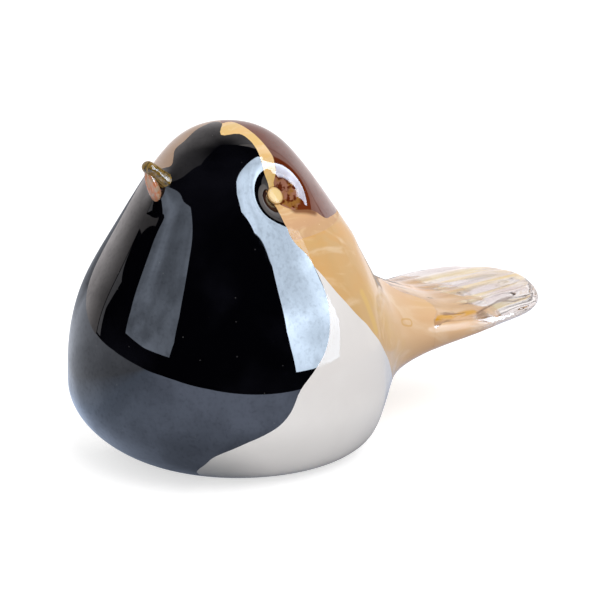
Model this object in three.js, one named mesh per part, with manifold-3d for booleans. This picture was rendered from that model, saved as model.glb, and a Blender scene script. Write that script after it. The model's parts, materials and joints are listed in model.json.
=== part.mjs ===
// A blown glass bird figurine: a pear-shaped cased body that stands on a ground flat foot, a pinched clear
// beak and a ribbed clear tail paddle. Millimetres, +Z up. The bird faces -Y, its left side is +X, and the
// origin is the middle of the foot.
import * as THREE from "three";
import { mergeVertices } from "three/addons/utils/BufferGeometryUtils.js";
import Module from "manifold-3d";

const wasm = await Module();
wasm.setup();

// Driving dimensions of the body
const BODY_WIDTH = 80;
const BODY_LENGTH = 84;
const BODY_HEIGHT = 84.5;
const FOOT_RADIUS = 25;
const FOOT_ROUNDING = 6;
const BELLY_HEIGHT = 19;
const BELLY_ROUNDING = 9.5;
const FLANK_FULLNESS = 0.58;
const SHOULDER_BELOW_CROWN = 27.5;
const SHOULDER_RADIUS = 28.5;
const SHOULDER_SLOPE = 59;
const SHOULDER_BEND = 14;
const HEAD_FULLNESS = 0.685;
const CROWN_ROUNDING = 13.2;
const BELLY_SETTING = 4.7;
const HEAD_LEAN = 1.4;

// Glass layers, from the outside in
const CASING_WALL = 2.4;
const COLOUR_WALL = 0.9;
const OPAL_WALL = 4.5;
const GAP = 0.35;

// Blowing hole through the foot
const VENT_RADIUS = 1.5;
const VENT_SETBACK = 12;

// Eyes
const EYE_ANGLE = 85.5;
const EYE_BELOW_CROWN = 14;
const EYE_DOT_RADIUS = 2.3;
const EYE_RING_WIDTH = 0.7;
const EYE_DEPTH = 0.7;
const EYE_THICKNESS = 0.6;
const SOCKET_RADIUS = 10.5;
const SOCKET_DEPTH = 1.1;

// Beak
const BEAK_BELOW_CROWN = 11.5;
const BEAK_REACH = 6;
const BEAK_RISE = 5.4;
const BEAK_THICKNESS = 3.8;
const BEAK_WIDTH = 4.6;
const BEAK_ROOT = 3.5;
const CHIN_DROP = 3.8;
const CHIN_WIDTH = 3.6;
const CHIN_THICKNESS = 3.2;

// Tail: distances behind the body's back, half widths across, heights of its under and upper face
const TAIL_LENGTH = 57;
const TAIL_WIDEST = 33;
const TAIL_SHAPE = [
  { behind: -9, halfWidth: 21.5, under: 4.5, upper: 45 },
  { behind: -1, halfWidth: 20, under: 7.6, upper: 40.4 },
  { behind: 7, halfWidth: 18.7, under: 11.7, upper: 34 },
  { behind: 15, halfWidth: 19.4, under: 14.6, upper: 30 },
  { behind: 25, halfWidth: 21.3, under: 17.2, upper: 28.2 },
  { behind: TAIL_WIDEST, halfWidth: 21.6, under: 18.8, upper: 27.9 },
  { behind: TAIL_LENGTH, halfWidth: 21.6, under: 20, upper: 27 },
];
const ROOT_SQUARENESS = 2;
const PADDLE_SQUARENESS = 2.5;
const RIBS = 9;
const RIB_HEIGHT = 0.35;
const RIBS_BEGIN = 10;
const TONGUE_LENGTH = 37;
const TONGUE_COVER = 1.5;
const TONGUE_FILL = 0.8;

// Fineness of the meshes
const AROUND = 32;
const UPRIGHT = 20;
const TAIL_AROUND = 36;
const TAIL_STATIONS = 14;
const TONGUE_STATIONS = 8;
const WEDGE_ROWS = 16;
const WEDGE_COLUMNS = 12;
const WEDGE_OUTSIDE = 1.3;
const WEDGE_INSIDE = 0.5;
const SMALL_AROUND = 16;

const degrees = THREE.MathUtils.degToRad;
const bellyRadius = BODY_WIDTH / 2;
const lengthShare = BODY_LENGTH / BODY_WIDTH;
const eyeHeight = BODY_HEIGHT - EYE_BELOW_CROWN;
const beakHeight = BODY_HEIGHT - BEAK_BELOW_CROWN;
const shoulderHeight = BODY_HEIGHT - SHOULDER_BELOW_CROWN;
const backOfBody = BODY_LENGTH / 2 - BELLY_SETTING;
const heart = new THREE.Vector3(0, -BELLY_SETTING, BELLY_HEIGHT + BELLY_ROUNDING);
const colourDepth = CASING_WALL + GAP;
const opalDepth = colourDepth + COLOUR_WALL + GAP;

// Half outline of the body from the foot's edge to the crown: radius across, height up.
function bodyProfile() {
  const slope = degrees(SHOULDER_SLOPE);
  const up = new THREE.Vector2(-Math.cos(slope), Math.sin(slope));
  const foot = new THREE.Vector2(FOOT_RADIUS, 0);
  const belly = new THREE.Vector2(bellyRadius, BELLY_HEIGHT);
  const shoulder = new THREE.Vector2(SHOULDER_RADIUS, shoulderHeight);
  const crown = new THREE.Vector2(0, BODY_HEIGHT);
  const flankRise = FLANK_FULLNESS * (shoulderHeight - BELLY_HEIGHT);
  const headRise = (HEAD_FULLNESS * SHOULDER_BELOW_CROWN) / up.y;
  const path = new THREE.CurvePath();
  path.add(
    new THREE.CubicBezierCurve(
      foot,
      new THREE.Vector2(FOOT_RADIUS + FOOT_ROUNDING, 0),
      new THREE.Vector2(bellyRadius, BELLY_HEIGHT - BELLY_ROUNDING),
      belly,
    ),
  );
  path.add(
    new THREE.CubicBezierCurve(
      belly,
      new THREE.Vector2(bellyRadius, BELLY_HEIGHT + flankRise),
      shoulder.clone().addScaledVector(up, -SHOULDER_BEND),
      shoulder,
    ),
  );
  path.add(
    new THREE.CubicBezierCurve(
      shoulder,
      shoulder.clone().addScaledVector(up, headRise),
      new THREE.Vector2(CROWN_ROUNDING, BODY_HEIGHT),
      crown,
    ),
  );
  return path;
}

const profile = bodyProfile();

// The body's middle swings forward of the foot up to the belly, and the head leans on a little further.
function spine(height) {
  if (height < BELLY_HEIGHT) {
    const share = height / BELLY_HEIGHT;
    return -BELLY_SETTING * (1 - (1 - share) ** 2);
  }
  const share = (height - BELLY_HEIGHT) / (BODY_HEIGHT - BELLY_HEIGHT);
  return -BELLY_SETTING - HEAD_LEAN * share ** 2;
}

// A point of the plain skin: fraction 0 at the foot's edge to 1 at the crown, angle in degrees from the beak
// round to the bird's left.
function plainSkin(fraction, angle) {
  const outline = profile.getPoint(fraction);
  const turn = degrees(angle);
  return new THREE.Vector3(
    outline.x * Math.sin(turn),
    spine(outline.y) - outline.x * lengthShare * Math.cos(turn),
    outline.y,
  );
}

// The fraction of the profile that lies at a height.
function fractionAt(height) {
  let low = 0;
  let high = 1;
  while (high - low > 1e-5) {
    const middle = (low + high) / 2;
    if (profile.getPoint(middle).y < height) low = middle;
    else high = middle;
  }
  return low;
}

const eyes = [1, -1].map((side) => plainSkin(fractionAt(eyeHeight), side * EYE_ANGLE));

// The skin with its two eye sockets pressed in, at a depth below the outer face. Depth is measured towards
// the heart of the body, so that every layer nests in the one round it.
function skin(fraction, angle, depth = 0) {
  const point = plainSkin(fraction, angle);
  const inward = heart.clone().sub(point);
  const distance = inward.length();
  let sink = depth;
  eyes.forEach((eye) => {
    const share = point.distanceTo(eye) / SOCKET_RADIUS;
    if (share < 1) sink += SOCKET_DEPTH * (1 - share ** 2) ** 2;
  });
  return point.addScaledVector(inward, sink / distance);
}

// A closed mesh as a solid for joining and cutting.
function solidOf(geometry) {
  const plain = geometry.clone();
  plain.deleteAttribute("normal");
  plain.deleteAttribute("uv");
  const merged = mergeVertices(plain, 1e-4);
  return new wasm.Manifold(
    new wasm.Mesh({
      numProp: 3,
      vertProperties: merged.attributes.position.array,
      triVerts: new Uint32Array(merged.index.array),
    }),
  );
}

// A solid back as a geometry.
function geometryOf(solid) {
  const mesh = solid.getMesh();
  const geometry = new THREE.BufferGeometry();
  geometry.setAttribute("position", new THREE.BufferAttribute(mesh.vertProperties, 3));
  geometry.setIndex(new THREE.BufferAttribute(mesh.triVerts, 1));
  geometry.computeVertexNormals();
  return geometry;
}

// A geometry from points and faces, with its faces turned to point outwards.
function closedGeometry(points, faces) {
  let volume = 0;
  const normal = new THREE.Vector3();
  faces.forEach(([a, b, c]) => {
    volume += points[a].dot(normal.crossVectors(points[b], points[c]));
  });
  const ordered = volume < 0 ? faces.map(([a, b, c]) => [a, c, b]) : faces;
  const geometry = new THREE.BufferGeometry();
  geometry.setFromPoints(points);
  geometry.setIndex(ordered.flat());
  geometry.computeVertexNormals();
  return geometry;
}

// A solid through a row of closed rings, each end closed by a fan about its own middle point.
function loft(rings, firstMiddle, lastMiddle) {
  const count = rings[0].length;
  const points = [...rings.flat(), firstMiddle, lastMiddle];
  const first = rings.length * count;
  const faces = [];
  for (let column = 0; column < count; column += 1) {
    const next = (column + 1) % count;
    for (let row = 0; row + 1 < rings.length; row += 1) {
      const low = row * count;
      const high = low + count;
      faces.push([low + column, low + next, high + next]);
      faces.push([low + column, high + next, high + column]);
    }
    faces.push([first, next, column]);
    const top = (rings.length - 1) * count;
    faces.push([first + 1, top + column, top + next]);
  }
  return closedGeometry(points, faces);
}

// The whole body down to a depth, as one closed solid.
function bodyAt(depth) {
  const rings = [];
  for (let row = 0; row < UPRIGHT; row += 1) {
    const ring = [];
    for (let column = 0; column < AROUND; column += 1) {
      ring.push(skin(row / UPRIGHT, (column * 360) / AROUND, depth));
    }
    rings.push(ring);
  }
  const foot = new THREE.Vector3(0, 0, 0);
  foot.addScaledVector(heart.clone().sub(foot).normalize(), depth);
  return solidOf(loft(rings, foot, skin(1, 0, depth)));
}

// A wedge that stands on a region of the skin and points at the heart. It cuts the region out of a layer.
// Each row gives its fraction of the profile and the angles where the region starts and ends. A wedge that
// covers the crown closes on it.
function wedge(rows, coversCrown = false) {
  const points = [];
  const width = WEDGE_COLUMNS + 1;
  const spoke = (fraction, angle, share) => heart.clone().lerp(plainSkin(fraction, angle), share);
  [WEDGE_OUTSIDE, WEDGE_INSIDE].forEach((share) => {
    rows.forEach(({ fraction, from, to }) => {
      for (let column = 0; column < width; column += 1) {
        const angle = THREE.MathUtils.lerp(from, to, column / WEDGE_COLUMNS);
        points.push(spoke(fraction, angle, share));
      }
    });
  });
  const layer = rows.length * width;
  const last = layer - width;
  const faces = [];
  const quad = (a, b, c, d) => faces.push([a, b, c], [a, c, d]);
  for (let low = 0; low < last; low += width) {
    const high = low + width;
    for (let column = 0; column < WEDGE_COLUMNS; column += 1) {
      const near = low + column;
      const far = high + column;
      quad(near, near + 1, far + 1, far);
      quad(layer + near, layer + far, layer + far + 1, layer + near + 1);
    }
    quad(low, high, layer + high, layer + low);
    const lowEnd = low + WEDGE_COLUMNS;
    const highEnd = high + WEDGE_COLUMNS;
    quad(lowEnd, layer + lowEnd, layer + highEnd, highEnd);
  }
  for (let column = 0; column < WEDGE_COLUMNS; column += 1) {
    quad(column, layer + column, layer + column + 1, column + 1);
  }
  if (coversCrown) {
    const outer = points.push(spoke(1, 0, WEDGE_OUTSIDE)) - 1;
    const inner = points.push(spoke(1, 0, WEDGE_INSIDE)) - 1;
    for (let column = last; column + 1 < layer; column += 1) {
      faces.push([column, column + 1, outer], [layer + column + 1, layer + column, inner]);
    }
    quad(last, outer, inner, layer + last);
    quad(layer - 1, layer + layer - 1, inner, outer);
  } else {
    for (let column = last; column + 1 < layer; column += 1) {
      quad(column, column + 1, layer + column + 1, layer + column);
    }
  }
  return closedGeometry(points, faces);
}

// A solid and its copies shifted a gap's width along each axis, joined: a cutter that leaves the gap.
function grownSolid(geometry) {
  const shift = Math.SQRT2 * GAP;
  const axes = [
    new THREE.Vector3(shift, 0, 0),
    new THREE.Vector3(0, shift, 0),
    new THREE.Vector3(0, 0, shift),
  ];
  let grown = solidOf(geometry);
  axes.forEach((axis) => {
    [axis, axis.clone().negate()].forEach(({ x, y, z }) => {
      grown = grown.add(solidOf(geometry.clone().translate(x, y, z)));
    });
  });
  return grown;
}

// Straight-line reading of an edge given as [share of height, angle] points from low to high.
function edgeAngle(edge, height) {
  const last = edge[edge.length - 1];
  if (height <= edge[0][0]) return edge[0][1];
  if (height >= last[0]) return last[1];
  const next = edge.findIndex(([at]) => at > height);
  const [lowAt, lowAngle] = edge[next - 1];
  const [highAt, highAngle] = edge[next];
  return THREE.MathUtils.mapLinear(height, lowAt, highAt, lowAngle, highAngle);
}

// Rows of a wedge between two shares of the height, spaced evenly along the profile.
function rowsBetween(low, high, from, to) {
  const start = fractionAt(low * BODY_HEIGHT);
  const end = fractionAt(high * BODY_HEIGHT);
  const rows = [];
  for (let row = 0; row <= WEDGE_ROWS; row += 1) {
    const fraction = THREE.MathUtils.lerp(start, end, row / WEDGE_ROWS);
    const share = profile.getPoint(fraction).y / BODY_HEIGHT;
    rows.push({ fraction, from: from(share), to: to(share) });
  }
  return rows;
}

// Edges of the colours on the bird's left side, as [share of the body's height, angle from the beak].
const bibEdge = [
  [0.012, 30],
  [0.118, 42],
  [0.189, 56],
  [0.26, 71],
  [0.379, 82],
  [0.497, 92],
  [0.675, 93],
  [0.746, 86.5],
  [0.899, 85.5],
  [0.959, 88],
  [0.982, 80],
  [0.994, 46],
];
const amberEdge = [
  [0.118, 160],
  [0.213, 138],
  [0.32, 125.5],
  [0.402, 116.5],
  [0.509, 105],
  [0.627, 96],
  [0.68, 93.5],
  [0.716, 90],
];
const capEdge = [
  [0.716, 170],
  [0.734, 130],
  [0.749, 118],
  [0.776, 109.5],
  [0.805, 98],
  [0.84, 94],
  [0.911, 98],
  [0.959, 104],
  [0.994, 110],
];
const BIB_BOTTOM = 0.035;
const BIB_TOP = 0.994;
const AMBER_BOTTOM = 0.13;
const AMBER_TOP = 0.71;
const STRIPE_BOTTOM = 0.715;
const STRIPE_TOP = 0.992;
const CAP_BOTTOM = 0.722;
const CAP_ROUNDS = 0.998;

// On the bird's right side the black ends at the beak, and the peach stripe there is the wider one.
const CHEEK_TOP = 0.852;
const CHEEK_END = 0.911;
const CHEEK_TOP_ANGLE = -3;

// The angle of the black's edge on the bird's right side.
function bibRight(height) {
  const mirrored = -edgeAngle(bibEdge, height);
  if (height <= CHEEK_TOP) return mirrored;
  const share = Math.min(1, (height - CHEEK_TOP) / (CHEEK_END - CHEEK_TOP));
  return THREE.MathUtils.lerp(mirrored, CHEEK_TOP_ANGLE, share);
}

function bibWedge() {
  return wedge(rowsBetween(BIB_BOTTOM, BIB_TOP, bibRight, (share) => edgeAngle(bibEdge, share)));
}

// A colour on the back of the bird, from an edge on its left side round to the same edge on its right.
function backWedge(edge, bottom, top, coversCrown) {
  const front = (share) => edgeAngle(edge, share);
  return wedge(rowsBetween(bottom, top, front, (share) => 360 - front(share)), coversCrown);
}

// The stripe over one eye, between the black and the brown.
function stripeWedge(side) {
  const inner = (share) => side * (side > 0 ? edgeAngle(bibEdge, share) : -bibRight(share));
  const outer = (share) => side * edgeAngle(capEdge, share);
  return wedge(rowsBetween(STRIPE_BOTTOM, STRIPE_TOP, inner, outer));
}

// Where a disc or ring lies in the skin at an eye, its axis out of the head.
function eyePlace(side, depth) {
  const place = new THREE.Object3D();
  const fraction = fractionAt(eyeHeight);
  const step = 1e-3;
  const centre = plainSkin(fraction, side * EYE_ANGLE);
  const up = plainSkin(fraction + step, side * EYE_ANGLE).sub(centre);
  const round = plainSkin(fraction, side * EYE_ANGLE + step).sub(centre);
  const outward = new THREE.Vector3().crossVectors(round, up).normalize();
  place.position.copy(centre).addScaledVector(outward, -depth);
  place.quaternion.setFromUnitVectors(new THREE.Vector3(0, 1, 0), outward);
  return place;
}

// A round disc with its face at the origin, or a ring round a hole.
function discGeometry(radius, thickness, hole = 0) {
  const outline = [
    new THREE.Vector2(hole, -thickness),
    new THREE.Vector2(radius, -thickness),
    new THREE.Vector2(radius, 0),
    new THREE.Vector2(hole, 0),
  ];
  if (hole > 0) outline.push(outline[0].clone());
  return new THREE.LatheGeometry(outline, SMALL_AROUND);
}

// Solid of a disc placed at an eye.
function eyeCutter(side) {
  const radius = EYE_DOT_RADIUS + GAP + EYE_RING_WIDTH + GAP;
  const reach = CASING_WALL + SOCKET_DEPTH + COLOUR_WALL;
  const geometry = discGeometry(radius, reach);
  const place = eyePlace(side, SOCKET_DEPTH + EYE_DEPTH - GAP);
  place.updateMatrix();
  return solidOf(geometry.applyMatrix4(place.matrix));
}

// A round-cornered section across the tail, with ribs along its two faces.
function tailSection({ reach, halfWidth, under, upper, squareness, rib }, margin) {
  const ring = [];
  const power = 2 / squareness;
  const middle = (under + upper) / 2;
  const halfThickness = (upper - under) / 2;
  for (let column = 0; column < TAIL_AROUND; column += 1) {
    const turn = (column * 2 * Math.PI) / TAIL_AROUND;
    const across = Math.sign(Math.sin(turn)) * Math.abs(Math.sin(turn)) ** power;
    const upward = Math.sign(Math.cos(turn)) * Math.abs(Math.cos(turn)) ** power;
    const ribbed = rib * Math.cos(RIBS * Math.PI * across) * (1 - across ** 2);
    ring.push(
      new THREE.Vector3(
        (halfWidth + margin) * across,
        reach,
        middle + (halfThickness + margin + ribbed) * upward,
      ),
    );
  }
  return ring;
}

const tailStart = TAIL_SHAPE[0].behind;
const tailReading = new THREE.CubicInterpolant(
  TAIL_SHAPE.map(({ behind }) => behind),
  TAIL_SHAPE.flatMap(({ halfWidth, under, upper }) => [halfWidth, under, upper]),
  3,
);

// The tail's section at a distance behind the body's back. Past the widest place the plan is half an ellipse.
function tailStation(behind) {
  const [halfWidth, under, upper] = tailReading.evaluate(behind);
  const beyond = Math.max(0, (behind - TAIL_WIDEST) / (TAIL_LENGTH - TAIL_WIDEST));
  const round = Math.sqrt(1 - Math.min(1, beyond) ** 2);
  const thin = ((1 - Math.sqrt(round)) * (upper - under)) / 2;
  return {
    reach: backOfBody + behind,
    halfWidth: halfWidth * round,
    under: under + thin,
    upper: upper - thin,
    squareness: THREE.MathUtils.mapLinear(
      Math.min(behind, TAIL_WIDEST),
      tailStart,
      TAIL_WIDEST,
      ROOT_SQUARENESS,
      PADDLE_SQUARENESS,
    ),
    rib: RIB_HEIGHT * round * THREE.MathUtils.smoothstep(behind, RIBS_BEGIN, TAIL_WIDEST),
  };
}

// The middle point of a section.
function middleOf({ reach, under, upper }) {
  return new THREE.Vector3(0, reach, (under + upper) / 2);
}

// The tail from inside the body to its tip.
function tailSolid() {
  const rings = [];
  for (let station = 0; station < TAIL_STATIONS; station += 1) {
    const share = Math.sin(((station / TAIL_STATIONS) * Math.PI) / 2);
    const behind = THREE.MathUtils.lerp(tailStart, TAIL_LENGTH, share);
    rings.push(tailSection(tailStation(behind), 0));
  }
  return solidOf(loft(rings, middleOf(tailStation(tailStart)), middleOf(tailStation(TAIL_LENGTH))));
}

// The amber tongue inside the tail: it fills the root under a thin clear cover and thins out to a point
// that lies low in the paddle.
function tongueStation(behind) {
  const tail = tailStation(behind);
  const share = (behind - tailStart) / (TONGUE_LENGTH - tailStart);
  const fade = Math.sqrt(1 - share ** 3);
  const under = tail.under + TONGUE_COVER;
  const room = tail.upper - tail.under - 2 * TONGUE_COVER;
  return {
    reach: tail.reach,
    halfWidth: (tail.halfWidth - TONGUE_COVER) * fade,
    under,
    upper: under + room * TONGUE_FILL * fade,
    squareness: tail.squareness,
    rib: 0,
  };
}

// The tongue with a margin all round it.
function tongueSolid(margin) {
  const rings = [];
  for (let station = 0; station < TONGUE_STATIONS; station += 1) {
    const share = Math.sin(((station / TONGUE_STATIONS) * Math.PI) / 2);
    const section = tongueStation(THREE.MathUtils.lerp(tailStart, TONGUE_LENGTH, share));
    rings.push(tailSection(section, margin));
  }
  const tip = middleOf(tongueStation(TONGUE_LENGTH));
  tip.y += margin;
  return solidOf(loft(rings, middleOf(tongueStation(tailStart)), tip));
}

// A small lobe of the beak through round sections.
function lobeSolid(sections, margin) {
  const rings = sections.map(({ at, tilt, halfWidth, halfThickness }) => {
    const up = new THREE.Vector3(0, Math.sin(degrees(tilt)), Math.cos(degrees(tilt)));
    const ring = [];
    for (let column = 0; column < SMALL_AROUND; column += 1) {
      const turn = (column * 2 * Math.PI) / SMALL_AROUND;
      const point = new THREE.Vector3((halfWidth + margin) * Math.sin(turn), 0, 0).add(at);
      ring.push(point.addScaledVector(up, (halfThickness + margin) * Math.cos(turn)));
    }
    return ring;
  });
  return solidOf(loft(rings, sections[0].at, sections[sections.length - 1].at));
}

// The point of the face right under the beak's line at a height.
function faceAt(height) {
  return plainSkin(fractionAt(height), 0);
}

// The upper half of the beak, pinched out of the face and pointing up.
function upperBeak(margin = 0) {
  const face = faceAt(beakHeight);
  const along = new THREE.Vector3(0, -BEAK_REACH, BEAK_RISE);
  const tilt = THREE.MathUtils.radToDeg(Math.atan2(BEAK_RISE, BEAK_REACH));
  const section = (share, size) => ({
    at: face.clone().addScaledVector(along, share),
    tilt,
    halfWidth: (BEAK_WIDTH / 2) * size,
    halfThickness: (BEAK_THICKNESS / 2) * size,
  });
  const flare = [
    [-BEAK_ROOT / BEAK_REACH, 2],
    [0, 1.7],
    [0.3, 1.15],
    [0.6, 0.95],
    [0.9, 0.8],
    [1, 0.5],
  ];
  return lobeSolid(
    flare.map(([share, size]) => section(share, size)),
    margin,
  );
}

// The lower half: a leaf that hangs from the beak's tip down to the chin.
function lowerBeak() {
  const chin = faceAt(beakHeight - CHIN_DROP);
  const tip = faceAt(beakHeight).add(new THREE.Vector3(0, -BEAK_REACH, BEAK_RISE));
  const path = tip.clone().sub(chin);
  const section = (share, size) => ({
    at: chin.clone().addScaledVector(path, share),
    tilt: 80,
    halfWidth: (CHIN_WIDTH / 2) * size,
    halfThickness: (CHIN_THICKNESS / 2) * size,
  });
  const leaf = [
    [-0.1, 0.5],
    [0.05, 0.9],
    [0.3, 1],
    [0.6, 0.8],
    [0.85, 0.45],
  ];
  return lobeSolid(
    leaf.map(([share, size]) => section(share, size)),
    0,
  );
}

function glass(colour) {
  return new THREE.MeshStandardMaterial({ color: colour, roughness: 0.05, metalness: 0 });
}

function named(name, geometry, material) {
  const mesh = new THREE.Mesh(geometry, material);
  mesh.name = name;
  return mesh;
}

const CLEAR = 0xdfe4e2;
const OPAL = 0xe9e7e4;
const BLACK = 0x08080a;
const AMBER = 0xe0b483;
const BROWN = 0x5a2411;
const PEACH = 0xe6c088;
const GOLD = 0xc9913f;

const bird = new THREE.Group();
bird.name = "glass_bird";

const outside = bodyAt(0);
const vent = solidOf(
  new THREE.CylinderGeometry(VENT_RADIUS, VENT_RADIUS, 4 * (opalDepth + OPAL_WALL), SMALL_AROUND)
    .rotateX(Math.PI / 2)
    .translate(0, VENT_SETBACK, 0),
);
const throat = tongueSolid(GAP);

const casing = outside
  .subtract(bodyAt(CASING_WALL))
  .subtract(vent)
  .subtract(throat)
  .subtract(eyeCutter(1))
  .subtract(eyeCutter(-1));
bird.add(named("clear_casing", geometryOf(casing), glass(CLEAR)));

const bubble = bodyAt(opalDepth).subtract(bodyAt(opalDepth + OPAL_WALL)).subtract(vent);
bird.add(named("opal_bubble", geometryOf(bubble), glass(OPAL)));

const colourLayer = bodyAt(colourDepth).subtract(bodyAt(colourDepth + COLOUR_WALL));
const bibCutter = bibWedge();
const capCutter = backWedge(capEdge, CAP_BOTTOM, CAP_ROUNDS, true);
const amberCutter = backWedge(amberEdge, AMBER_BOTTOM, AMBER_TOP, false);
const besideAmber = grownSolid(bibCutter).add(grownSolid(capCutter));
const besideStripes = besideAmber.add(grownSolid(amberCutter));
const patch = (cutter) => geometryOf(colourLayer.intersect(cutter));
bird.add(named("black_bib", patch(solidOf(bibCutter)), glass(BLACK)));
bird.add(named("brown_cap", patch(solidOf(capCutter)), glass(BROWN)));
bird.add(named("amber_back", patch(solidOf(amberCutter).subtract(besideAmber)), glass(AMBER)));

[
  ["left", 1],
  ["right", -1],
].forEach(([word, side]) => {
  const stripe = solidOf(stripeWedge(side)).subtract(besideStripes);
  bird.add(named(`brow_stripe_${word}`, patch(stripe), glass(PEACH)));
  const place = eyePlace(side, SOCKET_DEPTH + EYE_DEPTH);
  const inner = EYE_DOT_RADIUS + GAP;
  const dot = named(`eye_dot_${word}`, discGeometry(EYE_DOT_RADIUS, EYE_THICKNESS), glass(PEACH));
  const ring = named(
    `eye_ring_${word}`,
    discGeometry(inner + EYE_RING_WIDTH, EYE_THICKNESS, inner),
    glass(BLACK),
  );
  [dot, ring].forEach((piece) => {
    piece.position.copy(place.position);
    piece.quaternion.copy(place.quaternion);
    bird.add(piece);
  });
});

const bodyWithGap = bodyAt(-GAP);
bird.add(named("beak_upper", geometryOf(upperBeak().subtract(bodyWithGap)), glass(GOLD)));
const lower = lowerBeak().subtract(bodyWithGap).subtract(upperBeak(GAP));
bird.add(named("beak_lower", geometryOf(lower), glass(AMBER)));

const tail = tailSolid().subtract(bodyWithGap).subtract(throat);
bird.add(named("tail_paddle", geometryOf(tail), glass(CLEAR)));
const tongue = tongueSolid(0).subtract(bodyAt(CASING_WALL));
bird.add(named("tail_amber_tongue", geometryOf(tongue), glass(AMBER)));

export default bird;
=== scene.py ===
"""Looks of a blown glass bird figurine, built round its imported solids.

The bird faces -Y, its left side is +X, +Z is up and the origin is the middle of its ground flat foot.
Lengths are metres. A colour given through tone is as a screen shows it, and every other one is linear.
"""

import json
import logging
import math
from dataclasses import dataclass, field
from enum import Enum

import bpy
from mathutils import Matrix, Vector

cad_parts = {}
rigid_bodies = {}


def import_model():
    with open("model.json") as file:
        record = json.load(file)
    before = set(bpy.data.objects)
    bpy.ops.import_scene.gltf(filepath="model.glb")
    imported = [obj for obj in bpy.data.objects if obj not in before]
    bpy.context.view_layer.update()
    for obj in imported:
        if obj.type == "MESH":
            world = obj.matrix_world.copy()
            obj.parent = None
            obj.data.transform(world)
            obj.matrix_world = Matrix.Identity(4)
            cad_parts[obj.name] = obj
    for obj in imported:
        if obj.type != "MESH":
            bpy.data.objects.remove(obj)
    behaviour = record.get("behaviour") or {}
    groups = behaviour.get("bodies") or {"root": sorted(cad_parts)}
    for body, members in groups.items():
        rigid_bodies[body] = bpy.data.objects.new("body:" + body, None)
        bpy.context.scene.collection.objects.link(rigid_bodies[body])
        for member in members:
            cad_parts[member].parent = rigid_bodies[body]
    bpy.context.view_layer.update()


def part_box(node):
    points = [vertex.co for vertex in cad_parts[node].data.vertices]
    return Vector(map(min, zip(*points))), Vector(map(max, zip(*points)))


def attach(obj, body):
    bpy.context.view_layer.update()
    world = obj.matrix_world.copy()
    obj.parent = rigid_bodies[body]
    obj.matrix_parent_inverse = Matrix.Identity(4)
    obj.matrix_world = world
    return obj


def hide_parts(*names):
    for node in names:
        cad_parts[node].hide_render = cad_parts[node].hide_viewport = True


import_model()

MM = 0.001
CASING_LOW, CASING_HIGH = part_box("clear_casing")
TAIL_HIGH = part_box("tail_paddle")[1]
BODY_WIDTH = CASING_HIGH.x - CASING_LOW.x
BODY_HEIGHT = CASING_HIGH.z
TAIL_TIP = TAIL_HIGH.y
TAIL_HALF_WIDTH = TAIL_HIGH.x

log = logging.getLogger("glass_bird")
Colour = tuple[float, float, float]
Place = tuple[float, float, float]
Section = tuple[float, float, float, float]


class Side(Enum):
    """A side of the bird, as the sign of X."""

    LEFT = 1
    RIGHT = -1

    @property
    def word(self) -> str:
        """The side's name in lower case."""
        return self.name.lower()


# Handling of objects, as by hand


def deselect() -> None:
    """Leaves every object deselected and no mesh open for editing."""
    if bpy.context.mode != "OBJECT":
        bpy.ops.object.mode_set(mode="OBJECT")
    bpy.ops.object.select_all(action="DESELECT")


def pick(*things: bpy.types.Object) -> None:
    """Selects only these objects and makes the first one active."""
    deselect()
    for thing in things:
        thing.select_set(True)
    bpy.context.view_layer.objects.active = things[0]


def fresh(name: str) -> bpy.types.Object:
    """Names the primitive that has just been added.

    Args:
        name: The name for the object and its mesh.

    Returns:
        The new object.
    """
    thing = bpy.context.active_object
    thing.name = name
    thing.data.name = name
    return thing


def duplicate(thing: bpy.types.Object, name: str) -> bpy.types.Object:
    """Copies an object with a mesh of its own.

    Args:
        thing: The object to copy.
        name: The name of the copy.

    Returns:
        The copy.
    """
    copy = thing.copy()
    copy.data = thing.data.copy()
    copy.name = name
    copy.data.name = name
    bpy.context.collection.objects.link(copy)
    return copy


def discard(*things: bpy.types.Object) -> None:
    """Takes helper objects and their meshes out of the scene."""
    for thing in things:
        bpy.data.meshes.remove(thing.data)


def apply_modifier(thing: bpy.types.Object, kind: str, **settings: object) -> None:
    """Adds a modifier, sets it and applies it.

    Args:
        thing: The object to change.
        kind: The modifier's type.
        settings: The modifier's values by name.
    """
    pick(thing)
    modifier = thing.modifiers.new(kind.title(), kind)
    for key, value in settings.items():
        setattr(modifier, key, value)
    bpy.ops.object.modifier_apply(modifier=modifier.name)


def open_up() -> None:
    """Applies a new primitive's place and size and opens all of it for editing."""
    bpy.ops.object.transform_apply(location=True, rotation=True, scale=True)
    bpy.ops.object.mode_set(mode="EDIT")
    bpy.ops.mesh.select_all(action="SELECT")


def close_up() -> None:
    """Turns the faces of the mesh that is open for editing one way and ends the editing."""
    bpy.ops.mesh.select_all(action="SELECT")
    bpy.ops.mesh.normals_make_consistent(inside=False)
    bpy.ops.object.mode_set(mode="OBJECT")


def keep_whole(thing: bpy.types.Object) -> None:
    """Keeps what hangs together with the lowest point, without the scraps that a cut has left.

    Args:
        thing: The piece.
    """
    pick(thing)
    bpy.ops.object.mode_set(mode="EDIT")
    bpy.ops.mesh.select_mode(type="VERT")
    bpy.ops.mesh.select_all(action="DESELECT")
    bpy.ops.object.mode_set(mode="OBJECT")
    lowest = min(thing.data.vertices, key=lambda vertex: vertex.co.z)
    lowest.select = True
    bpy.ops.object.mode_set(mode="EDIT")
    bpy.ops.mesh.select_linked()
    bpy.ops.mesh.select_all(action="INVERT")
    bpy.ops.mesh.delete(type="VERT")
    bpy.ops.object.mode_set(mode="OBJECT")


def cut(thing: bpy.types.Object, tool: bpy.types.Object, operation: str) -> None:
    """Cuts an object with a tool, or keeps only what lies in the tool."""
    apply_modifier(thing, "BOOLEAN", object=tool, operation=operation, solver="MANIFOLD")


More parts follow.
